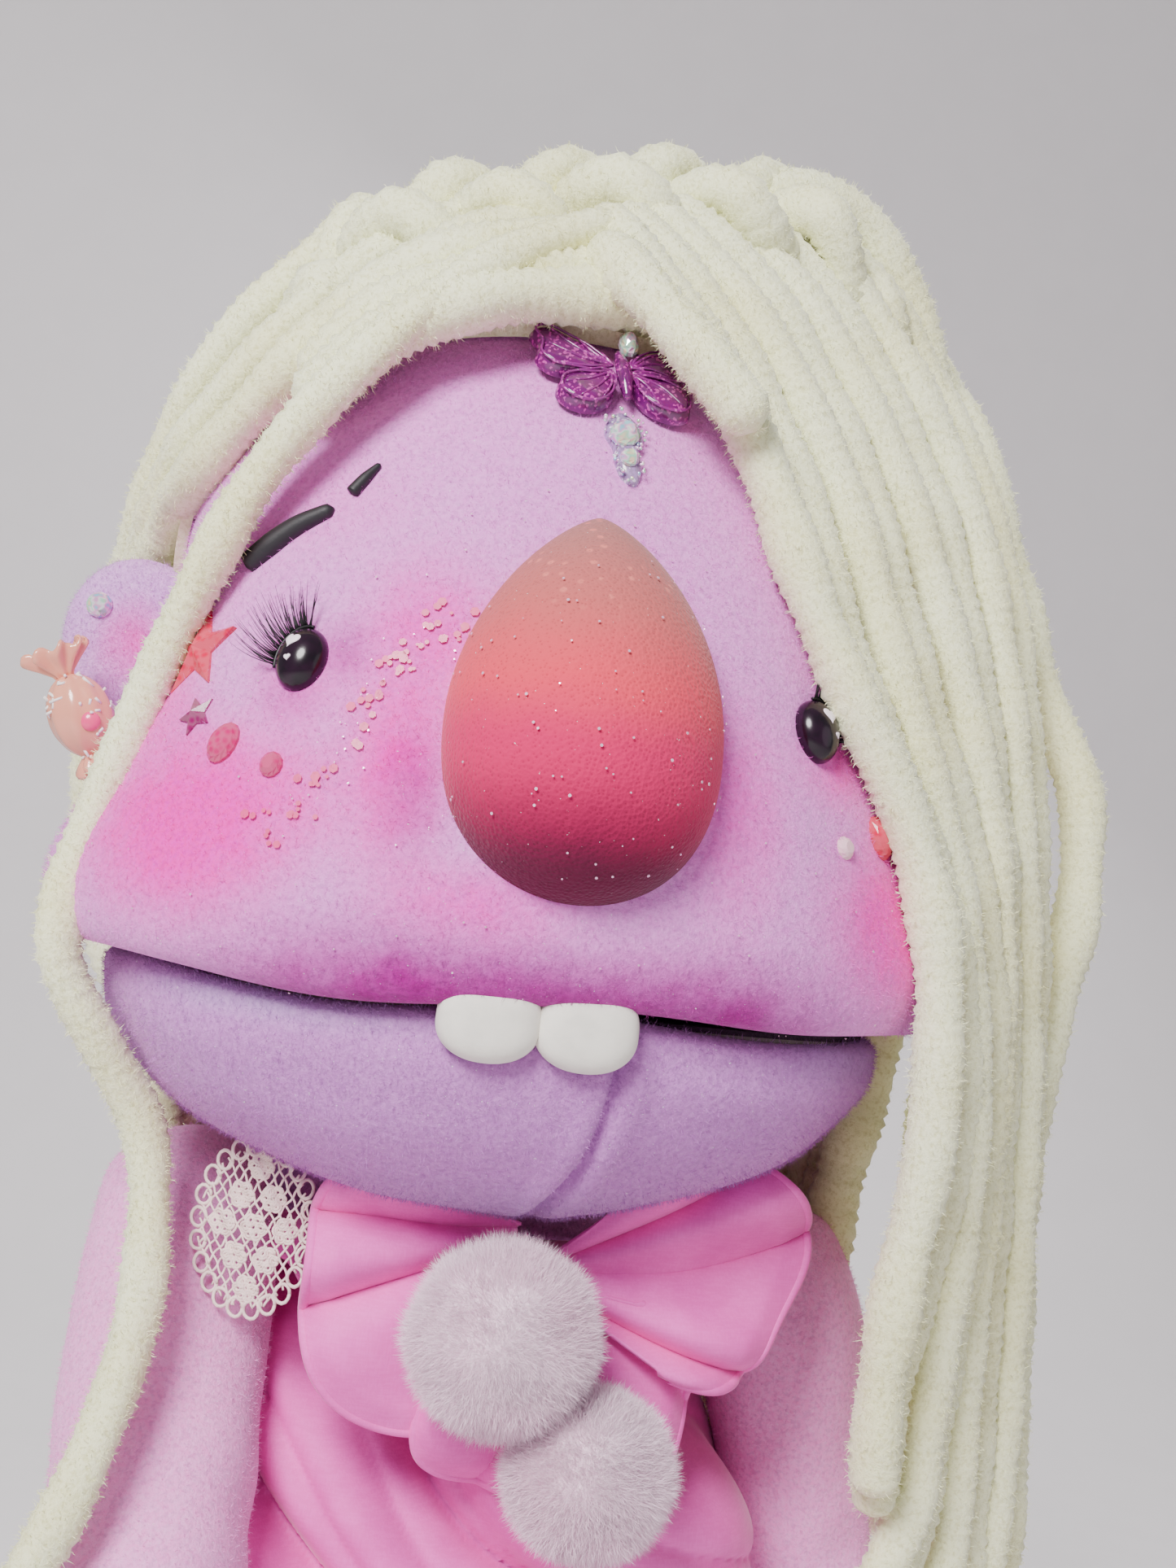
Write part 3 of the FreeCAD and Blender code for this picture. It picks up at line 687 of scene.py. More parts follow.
head_points += outward * (ripple(head_points, 3, 46, 0.5) * calm)[:, None]
crown = len(head_points)
head_points = np.concatenate([head_points, [(0, 2, MOUTH_Z + 134)]])
head_faces = [grid_faces(len(heights), COLUMNS)[:, ::-1], fan(0, COLUMNS, crown)[:, ::-1]]
head = make_mesh("head_fleece_skin", head_points, head_faces, head_fleece, "head")
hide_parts("head_skin")
UNDER_THE_WIG = 372


def bare_skin(p):
    """Where the nap grows: thick in front, thin behind, and not in the mouth or under the wig."""
    return (p[:, 2] > MOUTH_Z) * (p[:, 2] < UNDER_THE_WIG) * np.where(p[:, 1] < 0, 1.0, 0.35)


add_fuzz("head_nap", head, 60000, 1.0, 11, "head", keep=bare_skin)


# ---- jaw skin -----------------------------------------------------------------------------------

JAW_ROLL = 2.6
JAW_THICKNESS = 1.4
ROLL_ROWS, SIDE_ROWS = 18, 80
SEAM = spline([(14.0, -76, 242), (11.5, -74, 227), (5.5, -62, 215)], 60)

# The jaw's marks are painted light and shade: darker and greyer under the jaw and on its right side, paler on
# its upper left where the key light falls.
jaw_fleece = fleece("jaw_fleece", JAW_LILAC,
                    [((0, -60, 214), (50, 26, 11), srgb(165, 140, 190), 0.5),
                     ((52, -50, 246), (22, 40, 8), srgb(150, 125, 178), 0.5),
                     ((-40, -70, 246), (40, 30, 6), srgb(190, 165, 222), 0.5)], sparkle=0.75)
jaw_turn = np.linspace(math.pi, TAU, 340)
depths = np.concatenate([np.full(ROLL_ROWS, MOUTH_GAP + JAW_ROLL),
                         np.linspace(MOUTH_GAP + JAW_ROLL, 35.95, SIDE_ROWS)])
bend = np.radians(np.linspace(190, 6, ROLL_ROWS))
lifts = np.concatenate([JAW_ROLL * np.sin(bend), np.zeros(SIDE_ROWS)])
draw_in = np.concatenate([JAW_ROLL * (1 - np.cos(bend)), np.zeros(SIDE_ROWS)])
rows = []
for depth, lift, inset in zip(depths, lifts, draw_in):
    half, front = section(JAW_SECTIONS, depth)
    x = (half - inset) * np.cos(jaw_turn)
    y = HINGE_Y + (HINGE_Y - front - inset) * np.sin(jaw_turn)
    rows.append(np.stack([x, y, np.full_like(x, MOUTH_Z - depth + lift)], 1))
jaw_grid = np.array(rows)
away = np.array([np.min(np.hypot(SEAM[:, 0] - x, SEAM[:, 2] - z))
                 for x, _, z in jaw_grid.reshape(-1, 3)]).reshape(jaw_grid.shape[:2])
front_side = jaw_grid[:, :, 1] < -34
dart = -1.6 * np.exp(-(away / 0.9) ** 2) + 0.7 * np.exp(-((away - 3.0) / 2.2) ** 2)
dart = dart * front_side * ease(np.abs(jaw_grid[:, :, 2] - 231), 19, 12)
rim_drop = lip_sag(jaw_grid[:, :, 0]) * ease(jaw_grid[:, :, 1], -40, -60)
rim_drop = rim_drop + 1.3 * ease(jaw_grid[:, :, 0], 0, 30) - 0.8
jaw_grid[:, :, 2] -= rim_drop * (1 - ease(depths, MOUTH_GAP + 1, 16))[:, None]
jaw_out = jaw_grid - (0, -34, 250)
jaw_out /= np.linalg.norm(jaw_out, axis=2)[..., None]
uneven = ripple(jaw_grid.reshape(-1, 3), 8, 34, 0.55).reshape(dart.shape) * ease(depths, 3.5, 12)[:, None]
jaw_grid = jaw_grid + jaw_out * (dart + uneven)[..., None]
bottom = jaw_grid[-1].mean(0)
jaw_sides = grid_faces(len(jaw_grid), len(jaw_turn), wrap=False)
last = (len(jaw_grid) - 1) * len(jaw_turn)
step = np.arange(len(jaw_turn) - 1)
under = np.stack([last + step, last + step + 1, np.full(len(step), len(jaw_grid) * len(jaw_turn))], 1)
jaw_points = np.concatenate([jaw_grid.reshape(-1, 3), [bottom]])
jaw = make_mesh("jaw_fleece_skin", jaw_points, [jaw_sides[:, ::-1], under[:, ::-1]], jaw_fleece, "jaw")
thick = jaw.modifiers.new("cloth", "SOLIDIFY")
thick.thickness = JAW_THICKNESS * MM
thick.offset = -1.0
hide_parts("jaw_skin")
add_fuzz("jaw_nap", jaw, 26000, 1.0, 12, "jaw", keep=lambda p: p[:, 2] < MOUTH_Z - 1)


# ---- nose ---------------------------------------------------------------------------------------

nose_x, nose_y, nose_low, nose_high, nose_radius = NOSE
widest = 0.4                                  # how far up the nose it is widest
share = (1 - np.cos(np.linspace(0, math.pi, 110))) / 2
below_it = (1 - np.clip((widest - share) / widest, 0, 1) ** 2.4) ** 0.5
above_it = (1 - np.clip((share - widest) / (1 - widest), 0, 1) ** 2.05) ** 0.8
egg = np.where(share < widest, below_it, above_it)
nose_radii = np.maximum(nose_radius * egg, 0.05)
nose_heights = nose_low + share * (nose_high - nose_low)
ring_count = 96
ring = full_turn(ring_count)
nose_points = np.stack([nose_radii[:, None] * np.cos(ring), nose_radii[:, None] * np.sin(ring),
                        np.repeat(nose_heights[:, None], ring_count, 1)], -1).reshape(-1, 3)
tilt = np.array(Matrix.Rotation(math.radians(-14.0), 3, "X"))
nose_points = (nose_points - (0, 0, nose_low)) @ tilt.T + (nose_x, nose_y, nose_low)

shade = Shade("nose_sponge", Roughness=0.88, Specular_IOR_Level=0.25, Sheen_Weight=0.15)
height = shade.math("ADD", shade.split(2), shade.math("MULTIPLY", shade.noise(9.0, 3.0), 5.0))
colour = shade.mix(shade.range(height, 328, 308), srgb(168, 108, 104), srgb(196, 92, 92))
colour = shade.mix(shade.range(height, 312, 296), colour, srgb(230, 56, 84))
colour = shade.mix(shade.range(height, 300, 288), colour, srgb(208, 14, 92))
colour = shade.mix(shade.range(height, 288, 271), colour, srgb(98, 0, 52))
petals = shade.range(shade.cells(2.6), 0.28, 0.14)
petals = shade.math("MULTIPLY", petals, shade.range(height, 306, 314))
colour = shade.mix(shade.math("MULTIPLY", petals, 0.6), colour, srgb(240, 130, 120))
# painted shade in the sponge's pores: the cell centres, which the bump sinks, are darkened
pore_shade = shade.range(shade.cells(0.62), 0.05, 0.42, 1.0, 0.0)
colour = shade.mix(shade.math("MULTIPLY", pore_shade, 0.3), colour, srgb(110, 40, 60), "MULTIPLY")
glints = shade.range(shade.noise(0.5, 2.0), 0.74, 0.78, 0.0, 0.8)
colour = shade.mix(glints, colour, WHITE)
shade.bump(shade.cells(0.62), 0.5, 0.3)
shade.bump(shade.noise(3.0, 3.0), 0.2, 0.5)
nose_sponge = shade.colour(colour).material
nose = make_mesh("nose_sponge_ball", nose_points, grid_faces(len(share), ring_count), nose_sponge, "head")
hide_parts("nose_sponge")


# ---- eyes, lashes, brows and teeth --------------------------------------------------------------

EYE_RADII = np.array([4.1, 5.2, 3.4])
EYE_LIFT = 0.4
LASHES = 62
eye_shade = Shade("eye_resin", Roughness=0.22, Specular_IOR_Level=0.3, Coat_Weight=0.25, Coat_Roughness=0.05)
depth_of_eye = eye_shade.range(eye_shade.noise(2.5, 3.0), 0.3, 0.7)
eye_black = eye_shade.colour(eye_shade.mix(depth_of_eye, srgb(16, 8, 18), srgb(34, 12, 32))).material
gloss_white = plain("eye_glint_paint", srgb(250, 236, 246), 0.3, tint=0.03)
lash_black = plain("lash_fibre", srgb(12, 10, 14), 0.45, tint=0.05)


def heart(size):
    """A flat heart's outline."""
    t = np.linspace(0, TAU, 48, endpoint=False)
    x = 16 * np.sin(t) ** 3
    y = 13 * np.cos(t) - 5 * np.cos(2 * t) - 2 * np.cos(3 * t) - np.cos(4 * t)
    return np.stack([x, y], 1) * size / 32


def pillow(outline, thickness, edge=6.0, rings=10):
    """A flat outline raised into a dome: points (across, up, outward) and faces."""
    centre = outline.mean(0)
    shares = np.linspace(1, 0, rings) ** 0.7
    points = [np.column_stack([outline, np.full(len(outline), -0.3 * thickness)])]
    for share in shares:
        high = thickness * (1 - share ** edge) ** 0.5
        points.append(np.column_stack([centre + (outline - centre) * share, np.full(len(outline), high)]))
    return np.concatenate(points), grid_faces(rings + 1, len(outline))


def make_eye(sign, tag):
    """A black bead with a large and a small heart of paint on it."""
    name = "eye_dome_" + tag
    axes = face_frame(sign * EYE_X, EYE_Z, EYE_LIFT)
    points, faces = ball_mesh((0, 0, 0), EYE_RADII, 40, 48)
    eye = make_mesh(name, placed(points, axes), faces, eye_black, "head")
    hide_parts("eye_" + tag)
    build = Build()
    for outline, shift, turned in ((heart(2.9), (-0.9 if sign < 0 else 0.4, 1.9), -8),
                                   (heart(1.3) * (1, 0.9), (-0.5 if sign < 0 else 1.5, -1.2), 10)):
        points, faces = pillow(outline, 0.25)
        angle = math.radians(turned)
        c, s = math.cos(angle), math.sin(angle)
        flat = points[:, :2] @ np.array([[c, s], [-s, c]])
        flat += shift
        off_centre = (flat[:, 0] / EYE_RADII[0]) ** 2 + (flat[:, 1] / EYE_RADII[1]) ** 2
        over_eye = EYE_RADII[2] * np.sqrt(1 - off_centre)
        build.add(placed(np.column_stack([flat, over_eye + points[:, 2] - 0.05]), axes), faces)
    glint = build.finish(name + "_glint", gloss_white, "head")


def make_lashes(sign, tag):
    """Single hairs fanned out from the upper, outer rim of the eye, on a thin band."""
    rng = np.random.default_rng(21)
    axes = face_frame(sign * EYE_X, EYE_Z, EYE_LIFT)
    build = Build()
    rim = [(sign * math.cos(a) * (EYE_RADII[0] + 0.1), math.sin(a) * (EYE_RADII[1] + 0.1), 0.9)
           for a in np.radians(np.linspace(-22, 100, 30))]
    add_tube(build, placed(np.array(rim), axes), np.full(30, 0.28), 8)
    for k in range(LASHES):
        share = (k + rng.uniform(-0.5, 0.5)) / (LASHES - 1)
        a = math.radians(-18 + 112 * np.clip(share, 0, 1))
        root = np.array([sign * math.cos(a) * 4.2, math.sin(a) * 5.3, 0.9])
        size = rng.uniform(5.2, 8.6) * (1 - 0.35 * share)
        way = np.array([sign * math.cos(a * 0.85 + 0.25), math.sin(a * 0.85 + 0.25), 0.6])
        way += rng.normal(size=3) * 0.16
        way /= np.linalg.norm(way)
        bend_up = np.array([sign * 0.1, 0.6, -0.15])
        t = np.linspace(0, 1, 7)[:, None]
        hair = root + way * size * t + bend_up * size * 0.55 * t * t
        add_tube(build, placed(hair, axes), np.linspace(0.11, 0.02, 7), 5)
    lashes = build.finish("lash_fan_" + tag, lash_black, "head")
    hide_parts("lashes_" + tag)


# each roll of a brow: (x, z) places on the face and radii along it
BROW_ROLLS = (([(50.5, 311.2), (48.0, 313.8), (43.8, 317.8), (38.2, 321.4)], (2.0, 2.1, 1.7, 1.15)),
              ([(35.9, 324.0), (34.0, 326.9), (32.0, 329.6)], (1.2, 1.0, 0.45)))


def make_brow(sign, tag):
    """A tapered roll of clay and a short second piece beyond it."""
    build = Build()
    for path, radii in BROW_ROLLS:
        line = np.array([face_frame(sign * x, z, 0.5)[0] for x, z in path])
        line = spline(line, 26)
        share = np.linspace(0, 1, 26)
        radius = np.interp(share, np.linspace(0, 1, len(radii)), radii)
        rounding = np.sqrt(np.clip(1 - (1 - np.minimum(share, 1 - share) / 0.06).clip(0) ** 2, 0.02, 1))
        add_tube(build, line, radius * rounding, 14)
    brow = build.finish("brow_roll_" + tag, matte_black, "head")
    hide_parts("eyebrow_" + tag)


matte_black = plain("brow_clay", srgb(26, 24, 30), 0.55, grain=0.4, tint=0.2)
for sign, tag in ((-1, "left"), (1, "right")):
    make_eye(sign, tag)
    make_lashes(sign, tag)
    make_brow(sign, tag)

TOOTH_HALF_WIDTH, TOOTH_HALF_HEIGHT, TOOTH_RISE = 7.7, 5.8, 3.0
clay = plain("tooth_clay", srgb(240, 236, 226), 0.6, grain=0.5, depth=0.12, tint=0.1)
for sign, tag in ((-1, "left"), (1, "right")):
    low, high = (np.array(v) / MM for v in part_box("tooth_" + tag))
    a = np.linspace(0, TAU, 72, endpoint=False)
    corner = 2 / np.where(np.sin(a) < 0, 2.2, 3.4)
    across = np.sign(np.cos(a)) * np.abs(np.cos(a)) ** corner * TOOTH_HALF_WIDTH
    upright = np.sign(np.sin(a)) * np.abs(np.sin(a)) ** corner * TOOTH_HALF_HEIGHT
    points, faces = pillow(np.column_stack([across, upright]), TOOTH_RISE, edge=3.4, rings=14)
    centre = (sign * 7.25 + 0.3, high[1], MOUTH_Z - 3.9)
    forward = -points[:, 2] * (high[1] - low[1]) / TOOTH_RISE
    points = np.stack([points[:, 0], forward, points[:, 1]], 1) + centre
    tooth = make_mesh("tooth_clay_" + tag, points, faces, clay, "head")
    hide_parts("tooth_" + tag)


# ---- wig ----------------------------------------------------------------------------------------

yarn = chenille_pile("wig_chenille", srgb(252, 254, 216), srgb(206, 202, 160), srgb(246, 240, 216))
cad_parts["wig_cap"].material_slots[0].material = yarn
RING_SPACING = 1.15
GROOVE_SPACING = 2.7


def strand(build, path, rng, radius, pile, sides):
    """One length of chenille: soft grooves across it and pile fibres on every millimetre."""
    rough = spline(path, 40)
    length = line_length(rough)
    count = int(length / RING_SPACING)
    line = spline(rough, count)
    s = np.linspace(0, length, count)
    around = full_turn(sides)
    phase = rng.uniform(0, TAU, 4)
    groove = 0.075 * np.sin(TAU * s / GROOVE_SPACING + 1.6 * np.sin(s / 8 + phase[0]))
    swell = 0.05 * np.sin(s / 5.1 + phase[1]) + 0.05 * np.sin(s / 3.3 + phase[2])
    twist = 1 + 0.03 * np.sin(3 * around + s[:, None] / 5 + phase[3])
    radii = radius * (1 + groove + swell)[:, None] * twist
    from_end = np.minimum(s, length - s) / radius
    radii *= np.sqrt(np.clip(1 - np.clip(1 - from_end, 0, 1) ** 2, 0.02, 1))[:, None]
    points = add_tube(build, line, radii, sides)
    hairs = int(length * pile)
    i, j, u = rng.integers(0, count, hairs), rng.integers(0, sides, hairs), rng.random(hairs)[:, None]
    grid = points[:-2].reshape(count, sides, 3)
    places = grid[i, j] * (1 - u) + grid[i, (j + 1) % sides] * u
    places += rng.uniform(-0.5, 0.5, hairs)[:, None] * np.gradient(line, axis=0)[i]
    normals = places - line[i]
    normals /= np.maximum(np.linalg.norm(normals, axis=1), 1e-6)[:, None]
    build.add(*fibres(places, normals, rng, length=1.05, width=0.1, lean=0.8))


def between(inner, outer, count, wave, rng):
    """Paths spread from one to the other, each with a slight wave and every second one set back."""
    inner, outer = spline(inner, 24), spline(outer, 24)
    for k in range(count):
        share = k / (count - 1)
        path = inner * (1 - share) + outer * share
        t = np.linspace(0, 1, 24)
        sway = wave * np.sin(t * TAU * rng.uniform(1.0, 1.7) + rng.uniform(0, TAU)) * ease(t, 0.15, 0.5)
        path[:, 0] += sway
        path[:, 1] += (2.2 if k % 2 else -0.9) * ease(t, 0.02, 0.2) + 0.5 * sway
        yield path


def lock(name, node, paths, seed, pile, radius=YARN / 2, hangs=True, sides=16):
    """A bundle of strands as one piece; a lock that hangs below the head is left unattached, and any other
    goes with the head.
    """
    rng = np.random.default_rng(seed)
    build = Build()
    for path in paths:
        strand(build, path, rng, radius * rng.uniform(0.94, 1.04), pile, sides)
    piece = build.finish(name, yarn, None if hangs else "head")
    if hangs:
        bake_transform(piece)
    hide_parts(node)


rng = np.random.default_rng(40)

INNER_EDGE = [(-2, -44, 380), (8, -51, 369), (19, -56, 354), (29, -60, 336), (37, -64, 316), (46, -65, 300),
              (56, -63, 286), (64, -62, 270), (68, -62, 252), (69, -60, 230), (66, -58, 208), (65, -56, 192),
              (66, -54, 176)]
OUTER_EDGE = [(28, -20, 398), (48, -20, 390), (67, -20, 370), (82, -20, 345), (92, -20, 316), (98, -20, 285),
              (101, -20, 245), (102, -20, 205), (104, -20, 170), (105, -20, 141)]
curtain = list(between(INNER_EDGE, OUTER_EDGE, 8, 1.6, rng))
for k, low in ((2, (64, -50, 146)), (3, (70, -45, 142)), (4, (78, -42, 139))):
    curtain[k] = np.concatenate([curtain[k][:-1], [curtain[k][-1] * 0.3 + np.array(low) * 0.7]])
lock("chenille_right_front", "hair_right_front", curtain[:5], 41, pile=26, radius=4.0)
RIGHT_SIDE = [
    [(58, 4, 390), (80, -2, 368), (93, -4, 338), (102, -6, 314), (110, -8, 298), (112, -8, 280),
     (109, -8, 255), (105, -8, 225), (104, -6, 190), (104, -4, 150)],
    [(50, 8, 400), (78, 8, 378), (90, 8, 340), (94, 8, 300), (93, 8, 250), (92, 8, 200), (91, 10, 150)],
]
lock("chenille_right_side", "hair_right_side", curtain[5:] + RIGHT_SIDE, 42, pile=20)

FRINGE = [(-1, -48, 373), (4, -56, 366), (11, -61, 358), (18, -65, 350), (25, -67, 342)]
lock("chenille_fringe", "hair_fringe", [FRINGE], 43, pile=60, radius=4.5, hangs=False)

LEFT_FRONT = [(2, -46, 378), (-11, -51, 371), (-25, -55, 359), (-39, -57, 343), (-50.5, -55, 325),
              (-58, -50, 307), (-63.5, -46, 290), (-67.5, -46, 275), (-71, -47, 261), (-71.5, -48, 248),
              (-64, -45, 235), (-55.5, -40, 221), (-52, -45, 202), (-55, -62, 178), (-62, -68, 160),
              (-73, -70, 143)]
lock("chenille_left_front", "hair_left_front", [LEFT_FRONT], 44, pile=34, radius=3.7)

LEFT_SIDE = [
    [(-10, -38, 379), (-26, -42, 370), (-41, -42, 356), (-53, -37, 341), (-61, -26, 331), (-67, -6, 325),
     (-72, 14, 306), (-74, 27, 282), (-68, 37, 254), (-57, 42, 226), (-50, 41, 190), (-46, 40, 146)],
    [(-18, -28, 383), (-34, -33, 372), (-49, -32, 356), (-61, -23, 341), (-68, -8, 330), (-72, 8, 318),
     (-77, 22, 300), (-78, 34, 276), (-72, 43, 252), (-62, 47, 226), (-55, 46, 190), (-53, 46, 146)],
    [(-26, -14, 388), (-42, -19, 377), (-57, -18, 360), (-67, -9, 342), (-72, 4, 326), (-76, 18, 310),
     (-78, 33, 292), (-77, 43, 268), (-70, 50, 246), (-61, 53, 222), (-57, 52, 186), (-58, 52, 142)],
]
lock("chenille_left_side", "hair_left_side", LEFT_SIDE, 45, pile=24)

BACK_STRANDS = 23
back_paths = []
for k in range(BACK_STRANDS):
    a = math.radians(-6 + 166 * k / (BACK_STRANDS - 1))
    c, s = math.cos(a), math.sin(a)
    end = 140 + rng.uniform(-4, 12)
    drawn_in = 0.84 if c < 0 else 1.0          # the left edge hangs behind the neck
    back_paths.append([(10 * c, 6 + 8 * s, 394), (36 * c, 6 + 24 * s, 390), (58 * c, 4 + 40 * s, 368),
                       (70 * c, 2 + 51 * s, 334), (76 * c, 57 * s, 296), (77 * c, 59 * s, 258),
                       (73 * c * drawn_in, 3 + 58 * s, 222), (69 * c * drawn_in, 4 + 56 * s, 185),
                       (68 * c * drawn_in + rng.uniform(-2, 2), 4 + 55 * s + rng.uniform(-2, 2), end)])
lock("chenille_back", "hair_back", back_paths, 46, pile=7, radius=5.0, sides=14)

CROWN_STEPS = 90
CROWN = spline([(-49, -20, 356), (-40, -24, 372), (-14, -28, 383), (16, -27, 390), (42, -20, 391),
                (62, -6, 374)], CROWN_STEPS)
PLAIT_PITCH = 58
SLOPE = np.array((0.0, -0.85, -0.5))
RISE = np.array((0.0, -0.5, 0.85))
RIGHT_TOP = np.array([(20, -8, 398), (32, -6, 410), (48, -3, 412), (62, 2, 400), (74, 6, 376)])
OVER_THE_TOP = np.array([(-46, -2, 366), (-30, 0, 383), (0, 2, 393), (30, 4, 396), (58, 6, 382)])
HAIRLINE = np.array([(-46, -48, 338), (-34, -53, 351), (-20, -54, 359), (-4, -52, 363), (12, -49, 365)])
crown_paths = []
distance = np.linspace(0, line_length(CROWN), CROWN_STEPS)
for k in range(3):
    angle = TAU * (distance / PLAIT_PITCH + k / 3)
    sideways = SLOPE * (11.0 * np.sin(angle))[:, None]
    crown_paths.append(CROWN + sideways + RISE * (5.6 * np.sin(2 * angle))[:, None])
crown_paths += [RIGHT_TOP + (-4.0 * k, -15 + 9 * k, -9 - 2.5 * abs(k - 1.5)) for k in range(4)]
crown_paths += [OVER_THE_TOP + (0, 8.0 * k, -1.5 * k) for k in range(4)]
crown_paths += [HAIRLINE + (0.0, 4.0 * k, 5.5 * k) for k in range(3)]
lock("chenille_crown", "hair_braid_crown", crown_paths, 47, pile=26, radius=4.7, hangs=False)


# ---- ears and their charms ----------------------------------------------------------------------

STAR_ARMS = 5
ear_marks = [((sign * 70, -12, 301), (9, 8, 11), HOT_PINK, 0.7) for sign in (-1, 1)]
ear_fleece = fleece("ear_fleece", srgb(214, 150, 224), ear_marks)
peach = plain("candy_resin", srgb(246, 160, 132), 0.22, grain=1.5, tint=0.08, Coat_Weight=0.6,
              Coat_Roughness=0.08, Subsurface_Weight=0.15)
candy_spot = plain("candy_spot", srgb(240, 70, 130), 0.25, tint=0.05, Coat_Weight=0.6)
sprinkle = plain("candy_sprinkles", srgb(246, 240, 236), 0.35, tint=0.05)


def gem_material(name, tint):
    """Cut glass or acrylic, a little paler in patches painted as light caught inside the stone."""
    shade = Shade(name, Roughness=0.16, IOR=1.5, Specular_IOR_Level=0.3, Coat_Weight=0.22,
                  Coat_Roughness=0.06)
    # painted light: paler patches for light caught inside the stone
    glow = shade.range(shade.cells(1.3), 0.1, 0.6)
    return shade.colour(shade.mix(glow, tint, shade.mix(0.07, tint, WHITE))).material


def rainbow_material(name):
    """Clear crystal with a film that throws pink, blue, green and gold."""
    shade = Shade(name, Roughness=0.05, IOR=1.6, Metallic=0.35, Coat_Weight=1.0, Coat_Roughness=0.02)
    tint = shade.node("ValToRGB")
    shade.feed(tint.inputs[0], shade.noise(1.7, 1.0))
    stops = tint.color_ramp.elements
    stops[0].position, stops[0].color = 0.3, srgb(150, 210, 235)
    stops[1].position, stops[1].color = 0.7, srgb(250, 225, 190)
    for at, colour in ((0.42, srgb(240, 170, 220)), (0.5, srgb(245, 245, 250)), (0.58, srgb(170, 235, 205))):
        stops.new(at).color = colour
    return shade.colour(tint.outputs[0]).material


def cut_stone(half_width, half_height, rise, sides=12):
    """A faceted stone: a flat table, a crown of facets and a girdle."""
    points, faces = [], []
    for share, high, twist in ((1.0, -0.2, 0.0), (1.0, 0.25, 0.0), (0.82, 0.62, 0.5), (0.5, 1.0, 0.0)):
        a = (np.arange(sides) + twist) * TAU / sides
        points.append(np.column_stack([np.cos(a) * half_width * share, np.sin(a) * half_height * share,
                                       np.full(sides, rise * high)]))
    points.append([(0, 0, rise * 1.02)])
    quads = grid_faces(4, sides)
    table = fan(3 * sides, sides, 4 * sides)[:, ::-1]
    triangles = np.concatenate([quads[:, [0, 1, 2]], quads[:, [0, 2, 3]], table])
    return np.concatenate(points), triangles


def star_stone(outer, inner, rise):
    """A star with a ridge down the middle of each arm."""
    a = np.arange(2 * STAR_ARMS) * math.pi / STAR_ARMS + math.pi / 2
    radius = np.where(np.arange(2 * STAR_ARMS) % 2 == 0, outer, inner)
    rim = np.column_stack([np.cos(a) * radius, np.sin(a) * radius, np.full(len(a), 0.25 * rise)])
    foot = rim * (1, 1, 0) - (0, 0, 0.2)
    points = np.concatenate([foot, rim, [(0, 0, rise)]])
    n = len(a)
    first = np.arange(n)
    sides = np.stack([first, (first + 1) % n, (first + 1) % n + n, first + n], 1)
    top = fan(n, n, 2 * n)[:, ::-1]
    return points, np.concatenate([sides[:, [0, 1, 2]], sides[:, [0, 2, 3]], top])


rainbow = rainbow_material("crystal_rainbow")
pink_stone = gem_material("crystal_pink", srgb(196, 0, 104))
clear_stone = gem_material("crystal_clear", srgb(240, 190, 205))
coral_stone = gem_material("resin_coral", srgb(206, 0, 66))
magenta_stone = gem_material("resin_magenta", srgb(136, 0, 90))


def stones(name, items, node):
    """Stones set on the face, one object per colour; items are (x, z, turn, points and faces, material)."""
    for k, material in enumerate(dict.fromkeys(item[4] for item in items)):
        build = Build()
        for x, z, turned, (points, faces), own in items:
            if own == material:
                build.add(placed(points, face_frame(x, z, 0.15), turned), faces)
        stone = build.finish(f"{name}_{k + 1}", material, "head", smooth_shading=False)
    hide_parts(node)


temple_star = [(-55.8, 297, 12, star_stone(8.2, 3.4, 2.2), coral_stone)]
left_stones = [(-54.8, 286.3, 35, star_stone(3.6, 1.8, 1.6), magenta_stone),
               (-50.0, 282.2, -15, cut_stone(2.6, 3.4, 1.9, 14), pink_stone),
               (-42.6, 279.6, 0, cut_stone(1.9, 2.0, 1.4), pink_stone)]
right_stones = [(53.6, 281.0, 12, cut_stone(2.8, 3.7, 2.2, 14), coral_stone),
                (46.0, 278.4, 0, cut_stone(1.9, 1.9, 1.3), clear_stone)]
stones("temple_star", temple_star, "temple_star_left")
stones("cheek_stones_left", left_stones, "cheek_gems_left")
stones("cheek_stones_right", right_stones, "cheek_gems_right")

CANDY_RADII = (5.4, 4.6, 7.4)


def dish(lat, lon):
    """The hollow in the front of an ear."""
    facing = np.clip(-np.sin(lat) * np.sin(lon), 0, 1)
    return 1 - 0.34 * facing ** 6 + 0.02 * np.sin(3 * lat + 2 * lon)


def lumps(lat, lon):
    """The creases of a wrapper drawn round a sweet."""
    return 1 + 0.035 * np.sin(9 * lon + 3 * lat) * np.sin(lat)


def wrapper_end(end):
    """The fluted twist of a wrapper: full size above the sweet and smaller below it."""
    flutes = full_turn(64)
    rows = []
    for radius, out in ((1.2, 6.4), (1.9, 8.0), (3.4, 9.6), (4.6, 10.8), (5.3, 11.6), (5.1, 12.3)):
        fluted = radius * (1 + 0.16 * radius / 5 * np.sin(8 * flutes))
        height = np.full(len(flutes), out) - 0.7 * radius / 5 * np.cos(8 * flutes)
        rows.append(np.stack([fluted * np.cos(flutes), 0.6 * fluted * np.sin(flutes), height], 1))
    points = np.concatenate(rows) * (1, 1, end)
    if end < 0:
        points = points * (0.7, 0.7, 0.8)
    return points, grid_faces(len(rows), len(flutes))


